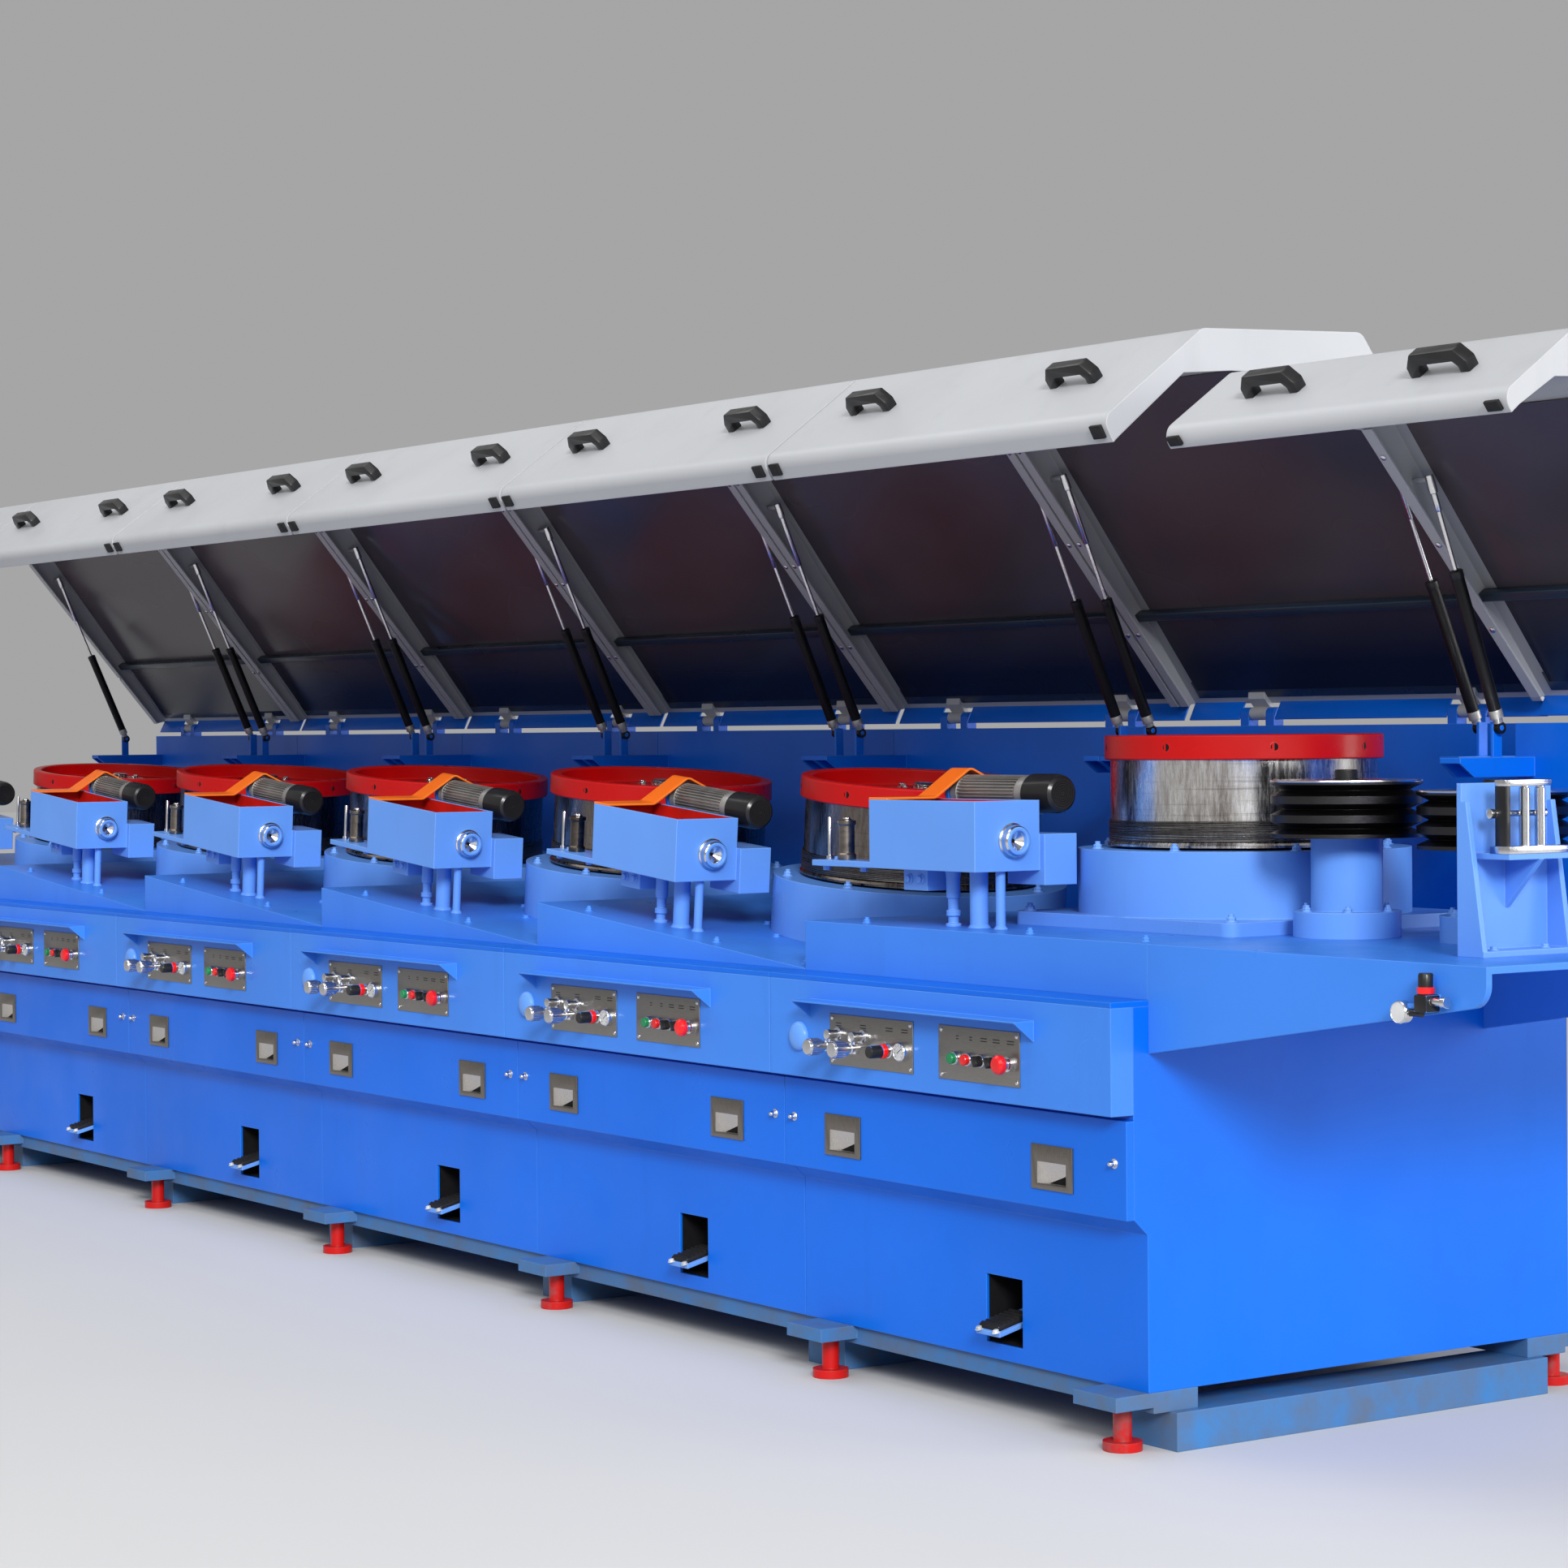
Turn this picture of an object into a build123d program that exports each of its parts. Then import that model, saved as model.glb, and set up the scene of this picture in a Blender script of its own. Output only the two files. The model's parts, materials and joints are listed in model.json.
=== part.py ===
"""Straight-line wire drawing machine: six drawing bays and an exit section.

X runs along the wire to the exit end, Y runs to the back and Z is up. The origin is on the floor,
under the middle cross skid. Bay 1 is the last bay before the exit section.
"""
import os
from collections import namedtuple
from math import atan2, cos, degrees, hypot, radians, sin, tan

from build123d import *

# Bays and cabinet
BAYS = 6
PITCH = 1250.0
SEAM = 3.0
DEPTH = 1240.0
SKID_HEIGHT = 82.0
SKID_WIDTH = 150.0
SKID_FRONT = 58.0
SKID_BACK = 90.0
END_SKID_INSET = 55.0
RAIL_HEIGHT = 44.0
RAIL_WIDTH = 120.0
RAIL_SETBACK = 12.0
FOOT_BLOCK = 31.0
FOOT_BLOCK_WIDTH = 140.0
FOOT_BLOCK_OUT = 90.0
FOOT_BLOCK_SHIFT = 120.0
JACK_RADIUS = 20.0
JACK_FOOT_RADIUS = 42.0
JACK_FOOT = 20.0
JACK_BACK = 15.0
LOWER_TOP = 454.0
SOFFIT_RISE = 34.0
COVER_OUT = 56.0
COVER_THICK = 20.0
COVER_TOP = 694.0
CONSOLE_OUT = 96.0
CONSOLE_BOTTOM = 706.0
TABLE_TOP = 942.0
TABLE_THICK = 12.0

# Fittings on the covers and consoles, placed from each bay's exit end and the floor
LATCH_WIDTH = 138.0
LATCH_HEIGHT = 94.0
LATCH_PLATE = 3.0
LATCH_LEVEL = 575.0
LATCHES = (245.0, 1013.0)
POCKET_WIDTH = 100.0
POCKET_HEIGHT = 50.0
POCKET_DROP = 12.0
POCKET_DEPTH = 10.0
CONTROL_PLATES = [(843.5, 318.0), (445.0, 285.0)]
PLATE_HEIGHT = 115.0
PLATE_THICK = 2.0
PLATE_LEVEL = 802.0
VALVES = (968.0, 872.0)
VALVE_INLET_LEVEL = 815.0
VALVE_LEVEL = 790.0
VALVE_RADIUS = 8.5
VALVE_INLET = 36.0
VALVE_BODY = 24.0
VALVE_LINK = 12.0
KNOB_START = 64.0
KNOB_LENGTH = 26.0
KNOB_RADIUS = 17.5
BUTTON_LEVEL = 792.0
STOP_BUTTON = 332.0
STOP_RADIUS = 19.0
STOP_START = 30.0
STOP_LENGTH = 11.0
Fitting = namedtuple("Fitting", "from_end radius reach")
FITTINGS = [
    Fitting(772.0, 12.5, 58.0), Fitting(714.0, 18.0, 17.0), Fitting(520.0, 11.0, 24.0),
    Fitting(472.0, 11.0, 24.0), Fitting(426.0, 11.5, 17.0), Fitting(382.0, 11.5, 17.0),
    Fitting(STOP_BUTTON, 11.0, STOP_START),
]
DOME_FROM_END = 1128.0
DOME_LEVEL = 800.0
DOME_RADIUS = 33.0
DOME_HEIGHT = 15.0
DOME_TAPER = 45.0
HOOD_FROM_END = 256.0
HOOD_LENGTH = 828.0
HOOD_OUT = 52.0
HOOD_TOP = 889.0
HOOD_DROP = 46.0
HOOD_SHEET = 4.0

# Foot pedals
SLOT_WIDTH = 128.0
SLOT_HEIGHT = 150.0
SLOT_BOTTOM = 160.0
SLOT_DEPTH = 260.0
SLOT_FROM_END = 487.0
PEDAL_WIDTH = 84.0
PEDAL_THICK = 10.0
PEDAL_REACH = 46.0
PEDAL_PIN_RADIUS = 8.0
PEDAL_PIN_BACK = 190.0
PEDAL_RISE = 78.0
PEDAL_PIN_END = 20.0
PEDAL_HUB_RADIUS = 16.0
PEDAL_TIP = 26.0
PAD_WIDTH = 70.0
PAD_LENGTH = 94.0
PAD_THICK = 11.0
PAD_SETBACK = 5.0

# Decks
DECK_TOP = 1059.0
DECK_LOW = 946.0
DECK_FRONT = 5.0
DECK_GAP = 5.0
TILT = degrees(atan2(DECK_TOP - DECK_LOW, PITCH))

# Drawing blocks
BLOCK_FROM_END = 415.0
BLOCK_BACK = 640.0
PEDESTAL_RADIUS = 375.0
PEDESTAL_HEIGHT = 146.0
EXIT_PLATE = 31.0
PLATE_CORNER = 30.0
RUNNING_GAP = 5.0
SHAFT_RADIUS = 60.0
SHAFT_SEAT = 40.0
FIT = 0.05
SEAT_GAP = 0.3
DRUM_RADIUS = 300.0
DRUM_HEIGHT = 194.0
FLANGE_RADIUS = 314.0
FLANGE_HEIGHT = 55.0
FLANGE_WALL = 28.0
FOOT_RADIUS = 308.0
FOOT_HEIGHT = 8.0
DISH_FLOOR = 12.0
HUB_RADIUS = 90.0
HUB_HEIGHT = 30.0

# Die boxes
BOX_FROM_END = 614.0
BOX_LENGTH = 400.0
BOX_WIDTH = 183.0
BOX_HEIGHT = 158.0
BOX_FRONT = 25.0
BOX_LIFT = 130.0
BOX_WALL = 6.0
RING_RADIUS = 34.0
RING_BORE = 20.0
RING_LENGTH = 26.0
RING_RECESS = 10.0
RING_BACK = 131.0
RING_LIFT = 68.0
POST_RADIUS = 21.0
THIN_POST_RADIUS = 11.0
POST_FROM_END = 719.0
THIN_POST_FROM_END = 640.0
DRAIN_FROM_END = 815.0
MOTOR_FROM_END = 978.0
MOTOR_RADIUS = 42.0
MOTOR_GAP = 20.0
MOTOR_RISE = 13.0
MOTOR_FLANGE_RADIUS = 43.0
MOTOR_FLANGE = 12.0
PULLEY_RADIUS = 30.0
PULLEY_WIDTH = 18.0
BRACKET_FROM_END = 830.0
BRACKET_LENGTH = 200.0
HOUSING_FROM_END = 596.0
HOUSING_LENGTH = 135.0
HOUSING_WIDTH = 92.0
HOUSING_HEIGHT = 115.0
HOUSING_LIFT = 97.0
CLAMP_FROM_END = 905.0
CLAMP_LENGTH = 90.0
CLAMP_WIDTH = 80.0
CLAMP_HEIGHT = 50.0
MOTOR_LENGTH = 271.0
FAN_COVER_RADIUS = 45.0
FAN_COVER_LENGTH = 100.0
GUARD_FROM_END = 1014.0
GUARD_WIDTH = 70.0
GUARD_THICK = 5.0
GUARD_FOOT = 165.0
GUARD_CREST = 268.0
GUARD_RISE = 68.0
GUARD_TAIL = 335.0
GUARD_FALL = 36.0
GUARD_BEND = 20.0
ROLLER_RADIUS = 22.0
ROLLER_HEIGHT = 100.0
GUIDE_PIN_RADIUS = 5.0
ROLLER_PLATE = 14.0
ROLLER_PLATE_LENGTH = 232.0
ROLLER_PLATE_WIDTH = 90.0
ROLLER_BACK = 70.0
ROLLER_FROM_END = 1167.0
GUIDE_PIN_FROM_END = 1236.0

# Rear wall and lid hinges
WALL_TOP = 1510.0
HINGE_Z = 1540.0
PIN_RADIUS = 8.0
KNUCKLE_RADIUS = 16.0
KNUCKLE_LENGTH = 60.0
EAR_LENGTH = 30.0
EAR_GAP = 1.0
HINGE_INSET = 260.0
HINGE_LEAF = 40.0

# Lids, drawn closed in forward and up distances from the hinge
LidShape = namedtuple(
    "LidShape", "hinge_back wall_ahead wall_behind opened outline edge strut_top handle_spread",
)
WALL_BEHIND = 30.0
BAY_LID = LidShape(
    DEPTH - WALL_BEHIND, 30.0, WALL_BEHIND, 47.7,
    [(15, 27), (1001, 116), (1294, -230), (1328, -565), (1274, -577)],
    [(1273, -552), (1258, -333), (1176, -227), (951, 20), (41, -16)],
    (741, 53), 738.0,
)
EXIT_LID = LidShape(
    972.0, 82.0, 18.0, 49.5,
    [(15, 27), (808, 62), (1102, -229), (1124, -457), (1084, -459)],
    [(1083, -434), (1066, -330), (985, -226), (790, -24), (41, -10)],
    (620, 20), 464.0,
)
LID_GAP = 5.0
SHEET = 5.0
LID_BEND = 30.0
RAIL_FLANGE = 30.0
WINDOW_MARGIN = 70.0
WINDOW_LAP = 24.0
GLAZING = 5.0
RIB_AT = 290.0
RIB_SIZE = 20.0
HANDLE_SPAN = 150.0
HANDLE_REACH = 48.0
HANDLE_BAR = 22.0
HANDLE_SHOULDER = 22.0
HANDLE_TOP = 112.0
HANDLE_DEPTH = 26.0

# Gas struts
STRUT_AHEAD = 185.0
STRUT_BELOW = 40.0
STRUT_INSET = 55.0
BARREL_RADIUS = 14.0
BARREL_LENGTH = 331.0
ROD_RADIUS = 5.0
ROD_INSIDE = 118.0
EYE_RADIUS = 13.0
EYE_WIDTH = 12.0
STUD_RADIUS = 6.0
BRACKET_THICK = 8.0
ARM_WIDTH = 60.0
ARM_THICK = 12.0
ARM_AHEAD = 120.0
ARM_DROP = 63.0
ARM_SIDE = 42.0
ARM_SHEET = 6.0
LUG_WIDTH = 26.0
BARREL_START = 26.0
BARREL_FLOOR = 12.0
SOCKET_RADIUS = 9.0
SOCKET_LENGTH = 30.0

# Exit section
SHELF_LENGTH = 965.0
SHELF_PLATE = 14.0
SHELF_ROOT = 228.0
SHELF_TIP = 74.0
SHELF_CORNER = 45.0
EXIT_LID_START = 183.0
EXIT_LID_LENGTH = 935.0
SHEAVE_RADIUS = 160.0
SHEAVE_HEIGHT = 120.0
SHEAVE_GROOVES = 3
SHEAVE_BORE = 18.0
STAND_RADIUS = 76.0
STAND_FLANGE_RADIUS = 114.0
STAND_FLANGE = 56.0
SHEAVES = [(92.0, 478.0, 1272.0), (445.0, 560.0, 1252.0)]
SHEAVE_LAND = 8.0
GROOVE_DEPTH = 26.0
CAP_RADIUS = 24.0
CAP_HEIGHT = 22.0
BRACKET_AHEAD = 715.0
BRACKET_BASE = 70.0
BRACKET_WIDTH = 245.0
BRACKET_BACK = 302.0
BRACKET_PLATE = 12.0
BRACKET_HEIGHT = 335.0
GUSSET_HEIGHT = 300.0
ROLLER_SHELF = 200.0
ROLLER_SHELF_LENGTH = 105.0
ROLLER_SHELF_WIDTH = 175.0
EXIT_ROLLER_RADIUS = 10.5
EXIT_ROLLER_OFFSET = 21.5
EXIT_ROLLER_AHEAD = 80.0
SHELF_RIB = 110.0
ROLLER_CHEEK = 130.0
ROLLER_CHEEK_OFFSET = 80.0
ROLLER_CHEEK_LENGTH = 28.0
ROLLER_BAR = 10.0
REGULATOR_AHEAD = 828.0
REGULATOR_LEVEL = 985.0
REGULATOR_SIDE = 32.0
REGULATOR_OUT = 37.0
REGULATOR_KNOB_RADIUS = 13.0
REGULATOR_KNOB = 36.0
GAUGE_AHEAD = 766.0
GAUGE_DROP = 20.0
GAUGE_RADIUS = 18.0
GAUGE_STEM = 6.0

EXIT_X = BAYS * PITCH / 2
FRONT_Y = -DEPTH / 2
BASE_TOP = SKID_HEIGHT + RAIL_HEIGHT

os.makedirs("parts", exist_ok=True)


def save(builder, name):
    """Label a finished piece and write it."""
    builder.part.label = name
    export_step(builder.part, f"parts/{name}.step")


def bay_end(bay):
    """X of the downstream end of a bay."""
    return EXIT_X - (bay - 1) * PITCH


def bay_middle(bay):
    """X of the middle of a bay."""
    return bay_end(bay) - PITCH / 2


def deck_tilt(bay):
    """Slope of a bay's deck: the last deck is level, the others fall towards the exit."""
    return 0.0 if bay == 1 else radians(TILT)


def deck_plane(bay, lift=0.0):
    """Plane on a deck's top, its origin at the downstream end, over the front panel's plane."""
    slope = deck_tilt(bay)
    height = DECK_TOP if bay == 1 else DECK_LOW
    top = Plane(
        origin=(bay_end(bay), FRONT_Y, height),
        x_dir=(cos(slope), 0, -sin(slope)),
        z_dir=(sin(slope), 0, cos(slope)),
    )
    return top.offset(lift)


def block_plane(bay):
    """Plane of a drawing block's seat, its origin on the block's axis."""
    seat = deck_plane(bay, EXIT_PLATE if bay == 1 else 0.0)
    return Plane(seat.from_local_coords(Vector(-BLOCK_FROM_END, BLOCK_BACK, 0)), seat.x_dir, seat.z_dir)


def upright(plane):
    """Vertical profile plane through a plane's origin, for turned pieces."""
    return Plane(plane.origin, x_dir=plane.x_dir, z_dir=-plane.y_dir)


def turned(plane, points):
    """Radius and height outline of a turned piece, standing on a plane's normal."""
    with BuildSketch(upright(plane)) as outline:
        with BuildLine():
            Polyline(*points, close=True)
        make_face()
    return outline.sketch


def axis_of(plane):
    """Axis along a plane's normal."""
    return Axis(plane.origin, plane.z_dir)


def side_plane(x):
    """Plane facing +X with Y across and Z up."""
    return Plane(origin=(x, 0, 0), x_dir=(0, 1, 0), z_dir=(1, 0, 0))


def lid_plane(x, shape):
    """Plane of a lid's section at its +X end: forward and up from the hinge, turned open."""
    opened = radians(shape.opened)
    hinge = (x, FRONT_Y + shape.hinge_back, HINGE_Z)
    return Plane(origin=hinge, x_dir=(0, -cos(opened), sin(opened)), z_dir=(-1, 0, 0))


# Cross skids on the floor
end_skid = EXIT_X - END_SKID_INSET
skid_length = DEPTH - SKID_FRONT - SKID_BACK
with BuildPart() as skids:
    for seam in range(BAYS + 1):
        skid_x = max(-end_skid, min(end_skid, EXIT_X - seam * PITCH))
        with Locations((skid_x, FRONT_Y + SKID_FRONT + skid_length / 2, SKID_HEIGHT / 2)):
            Box(SKID_WIDTH, skid_length, SKID_HEIGHT)
save(skids, "skids")

# Base: two rails on the skids, with foot blocks out in front and behind
foot_blocks = [EXIT_X - FOOT_BLOCK_WIDTH / 2]
foot_blocks += [EXIT_X - seam * PITCH + FOOT_BLOCK_SHIFT for seam in range(1, BAYS + 1)]
foot_block_depth = FOOT_BLOCK_OUT + RAIL_SETBACK
with BuildPart() as base_frame:
    for side in (-1, 1):
        rail_y = side * (DEPTH / 2 - RAIL_SETBACK - RAIL_WIDTH / 2)
        with Locations((0, rail_y, SKID_HEIGHT + RAIL_HEIGHT / 2)):
            Box(BAYS * PITCH, RAIL_WIDTH, RAIL_HEIGHT)
        for foot_x in foot_blocks:
            foot_y = side * (DEPTH / 2 - RAIL_SETBACK + foot_block_depth / 2)
            with Locations((foot_x, foot_y, BASE_TOP - FOOT_BLOCK / 2)):
                Box(FOOT_BLOCK_WIDTH, foot_block_depth, FOOT_BLOCK)
save(base_frame, "base_frame")

# Jack feet under the foot blocks
with BuildPart() as jack_feet:
    for foot_x in foot_blocks:
        for side in (-1, 1):
            foot = Plane((foot_x, side * (DEPTH / 2 + JACK_BACK), 0))
            neck = BASE_TOP - FOOT_BLOCK
            outline = turned(foot, [
                (0, 0), (JACK_FOOT_RADIUS, 0), (JACK_FOOT_RADIUS, JACK_FOOT), (JACK_RADIUS, JACK_FOOT),
                (JACK_RADIUS, neck), (0, neck),
            ])
            revolve(outline, axis=axis_of(foot))
save(jack_feet, "jack_feet")

# Bay cabinets with a toe recess below and a pedal slot each
core_front = FRONT_Y - COVER_OUT + COVER_THICK
with BuildPart() as bay_cabinets:
    for bay in range(1, BAYS + 1):
        with BuildSketch(side_plane(bay_end(bay) - PITCH + SEAM / 2)):
            with BuildLine():
                Polyline(
                    (FRONT_Y, BASE_TOP),
                    (-FRONT_Y, BASE_TOP),
                    (-FRONT_Y, TABLE_TOP - TABLE_THICK),
                    (core_front, TABLE_TOP - TABLE_THICK),
                    (core_front, LOWER_TOP + SOFFIT_RISE),
                    (FRONT_Y, LOWER_TOP),
                    close=True,
                )
            make_face()
        extrude(amount=PITCH - SEAM)
    for bay in range(1, BAYS + 1):
        slot_x = bay_end(bay) - SLOT_FROM_END
        with Locations((slot_x, FRONT_Y + SLOT_DEPTH / 2, SLOT_BOTTOM + SLOT_HEIGHT / 2)):
            Box(SLOT_WIDTH, SLOT_DEPTH, SLOT_HEIGHT, mode=Mode.SUBTRACT)
        with Locations((slot_x, FRONT_Y + PEDAL_PIN_BACK, SLOT_BOTTOM + PEDAL_RISE)):
            pin_hole = SLOT_WIDTH + 2 * PEDAL_PIN_END
            Cylinder(PEDAL_PIN_RADIUS + FIT, pin_hole, rotation=(0, 90, 0), mode=Mode.SUBTRACT)
save(bay_cabinets, "bay_cabinets")



def front_plane(out):
    """Plane on the front, facing out, with X across and Z up."""
    return Plane(origin=(0, FRONT_Y - out, 0), x_dir=(1, 0, 0), z_dir=(0, -1, 0))


def in_each_bay(level, *from_ends):
    """Places on a front plane, at distances from every bay's exit end."""
    return [(bay_end(bay) - from_end, level) for bay in range(1, BAYS + 1) for from_end in from_ends]


# Cover panels over the middle of each cabinet's front, with flush latches
with BuildPart() as cover_panels:
    for bay in range(1, BAYS + 1):
        with Locations((bay_middle(bay), FRONT_Y - COVER_OUT + COVER_THICK / 2,
                        (LOWER_TOP + SOFFIT_RISE + COVER_TOP) / 2)):
            Box(PITCH - SEAM, COVER_THICK, COVER_TOP - LOWER_TOP - SOFFIT_RISE)
    with BuildSketch(front_plane(COVER_OUT)):
        with Locations(*in_each_bay(LATCH_LEVEL, *LATCHES)):
            Rectangle(LATCH_WIDTH, LATCH_HEIGHT)
    extrude(amount=LATCH_PLATE)
    with BuildSketch(front_plane(COVER_OUT + LATCH_PLATE)):
        with Locations(*in_each_bay(LATCH_LEVEL - POCKET_DROP, *LATCHES)):
            Rectangle(POCKET_WIDTH, POCKET_HEIGHT)
    extrude(amount=-POCKET_DEPTH - LATCH_PLATE, mode=Mode.SUBTRACT)
save(cover_panels, "cover_panels")

# Control consoles, the most forward band of the front, with plates, valves, buttons and a hood
console_depth = CONSOLE_OUT - COVER_OUT + COVER_THICK
with BuildPart() as control_consoles:
    for bay in range(1, BAYS + 1):
        with Locations((bay_middle(bay), FRONT_Y - CONSOLE_OUT + console_depth / 2,
                        (CONSOLE_BOTTOM + TABLE_TOP - TABLE_THICK) / 2)):
            Box(PITCH - SEAM, console_depth, TABLE_TOP - TABLE_THICK - CONSOLE_BOTTOM)
    face = front_plane(CONSOLE_OUT)
    with BuildSketch(face):
        for from_end, width in CONTROL_PLATES:
            with Locations(*in_each_bay(PLATE_LEVEL, from_end)):
                Rectangle(width, PLATE_HEIGHT)
    extrude(amount=PLATE_THICK)
    with BuildSketch(face):
        with Locations(*in_each_bay(VALVE_INLET_LEVEL, *VALVES)):
            Circle(VALVE_RADIUS)
    extrude(amount=VALVE_INLET)
    with BuildSketch(face.offset(VALVE_BODY)):
        with Locations(*in_each_bay((VALVE_INLET_LEVEL + VALVE_LEVEL) / 2, *VALVES)):
            Rectangle(VALVE_LINK, VALVE_INLET_LEVEL - VALVE_LEVEL)
    extrude(amount=VALVE_INLET - VALVE_BODY)
    with BuildSketch(face.offset(VALVE_BODY)):
        with Locations(*in_each_bay(VALVE_LEVEL, *VALVES)):
            Circle(VALVE_RADIUS)
    extrude(amount=KNOB_START - VALVE_BODY)
    with BuildSketch(face.offset(KNOB_START)):
        with Locations(*in_each_bay(VALVE_LEVEL, *VALVES)):
            Circle(KNOB_RADIUS)
    extrude(amount=KNOB_LENGTH)
    for fitting in FITTINGS:
        with BuildSketch(face):
            with Locations(*in_each_bay(BUTTON_LEVEL, fitting.from_end)):
                Circle(fitting.radius)
        extrude(amount=fitting.reach)
    with BuildSketch(face.offset(STOP_START)):
        with Locations(*in_each_bay(BUTTON_LEVEL, STOP_BUTTON)):
            Circle(STOP_RADIUS)
    extrude(amount=STOP_LENGTH)
    with BuildSketch(face):
        with Locations(*in_each_bay(DOME_LEVEL, DOME_FROM_END)):
            Circle(DOME_RADIUS)
    extrude(amount=DOME_HEIGHT, taper=DOME_TAPER)
    hood_root = FRONT_Y - CONSOLE_OUT
    for bay in range(1, BAYS + 1):
        with BuildSketch(side_plane(bay_end(bay) - HOOD_FROM_END - HOOD_LENGTH)):
            with BuildLine():
                Polyline(
                    (hood_root, HOOD_TOP), (hood_root - HOOD_OUT, HOOD_TOP),
                    (hood_root - HOOD_OUT, HOOD_TOP - HOOD_SHEET), (hood_root, HOOD_TOP - HOOD_DROP),
                    close=True,
                )
            make_face()
        extrude(amount=HOOD_LENGTH)
    with BuildSketch(face):
        with Locations(*in_each_bay(HOOD_TOP - HOOD_SHEET - HOOD_DROP / 2, HOOD_FROM_END + HOOD_LENGTH / 2)):
            Rectangle(HOOD_LENGTH - 2 * HOOD_SHEET, HOOD_DROP)
    extrude(amount=HOOD_OUT, mode=Mode.SUBTRACT)
save(control_consoles, "control_consoles")

# Table plates, whose front strip carries the closed lids
with BuildPart() as table_plates:
    for bay in range(1, BAYS + 1):
        with Locations((bay_middle(bay), -CONSOLE_OUT / 2, TABLE_TOP - TABLE_THICK / 2)):
            Box(PITCH - SEAM, DEPTH + CONSOLE_OUT, TABLE_THICK)
save(table_plates, "table_plates")

# Decks: level under the exit block, wedges under the inclined blocks
deck_depth = BAY_LID.hinge_back - BAY_LID.wall_ahead - DECK_GAP - DECK_FRONT
with BuildPart() as decks:
    for bay in range(1, BAYS + 1):
        start, end = bay_end(bay) - PITCH + SEAM / 2, bay_end(bay) - SEAM / 2
        fall = SEAM / 2 * tan(deck_tilt(bay))
        end_top = DECK_TOP if bay == 1 else DECK_LOW + fall
        with BuildSketch(Plane.XZ.offset(-FRONT_Y - DECK_FRONT)):
            with BuildLine():
                Polyline(
                    (start, TABLE_TOP), (end, TABLE_TOP), (end, end_top), (start, DECK_TOP - fall),
                    close=True,
                )
            make_face()
        extrude(amount=-deck_depth)
save(decks, "decks")

# Block pedestals, each with the bearing bore of its block
with BuildPart() as block_pedestals:
    for bay in range(1, BAYS + 1):
        seat = block_plane(bay)
        bore = SHAFT_RADIUS + FIT
        outline = turned(seat, [
            (0, 0), (PEDESTAL_RADIUS, 0), (PEDESTAL_RADIUS, PEDESTAL_HEIGHT),
            (bore, PEDESTAL_HEIGHT), (bore, SHAFT_SEAT - SEAT_GAP), (0, SHAFT_SEAT - SEAT_GAP),
        ])
        revolve(outline, axis=axis_of(seat))
    with BuildSketch(deck_plane(1)):
        with Locations((-BLOCK_FROM_END, BLOCK_BACK)):
            plate_side = 2 * PEDESTAL_RADIUS
            RectangleRounded(plate_side, plate_side, PLATE_CORNER)
    extrude(amount=EXIT_PLATE)
save(block_pedestals, "block_pedestals")

# Drawing blocks: shaft, drum and raised flange ring
drum_foot = PEDESTAL_HEIGHT + RUNNING_GAP
drum_head = drum_foot + DRUM_HEIGHT
flange_head = drum_head + FLANGE_HEIGHT
for bay in range(1, BAYS + 1):
    seat = block_plane(bay)
    dish = FLANGE_RADIUS - FLANGE_WALL
    with BuildPart() as block:
        outline = turned(seat, [
            (0, SHAFT_SEAT), (SHAFT_RADIUS, SHAFT_SEAT), (SHAFT_RADIUS, drum_foot),
            (FOOT_RADIUS, drum_foot), (FOOT_RADIUS, drum_foot + FOOT_HEIGHT),
            (DRUM_RADIUS, drum_foot + FOOT_HEIGHT + FOOT_RADIUS - DRUM_RADIUS),
            (DRUM_RADIUS, drum_head), (FLANGE_RADIUS, drum_head), (FLANGE_RADIUS, flange_head),
            (dish, flange_head), (dish, drum_head + DISH_FLOOR),
            (HUB_RADIUS, drum_head + DISH_FLOOR), (HUB_RADIUS, drum_head + HUB_HEIGHT),
            (0, drum_head + HUB_HEIGHT),
        ])
        revolve(outline, axis=axis_of(seat))
    save(block, f"block_{bay}")

# Die boxes: open trays on posts, with a roller plate upstream, a clamp block below, and a housing
# and a motor bracket behind
box_middle = -BOX_FROM_END - BOX_LENGTH / 2
box_centre_y = BOX_FRONT + BOX_WIDTH / 2
housing_middle = -HOUSING_FROM_END - HOUSING_LENGTH / 2
plate_centre = -BOX_FROM_END - BOX_LENGTH - ROLLER_PLATE_LENGTH / 2
motor_back = BOX_FRONT + BOX_WIDTH + MOTOR_GAP + MOTOR_RADIUS
motor_lift = BOX_LIFT + BOX_HEIGHT + MOTOR_RISE
bracket_lift = motor_lift - MOTOR_RADIUS - BRACKET_THICK
posts = (
    (POST_FROM_END, POST_RADIUS), (THIN_POST_FROM_END, THIN_POST_RADIUS),
    (DRAIN_FROM_END, THIN_POST_RADIUS),
)


def ring_plane(bay):
    """Plane on a die box's downstream face, its origin on the wire's line."""
    deck = deck_plane(bay)
    centre = deck.from_local_coords(Vector(-BOX_FROM_END, RING_BACK, BOX_LIFT + RING_LIFT))
    return Plane(centre, x_dir=deck.y_dir, z_dir=deck.x_dir)


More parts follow.
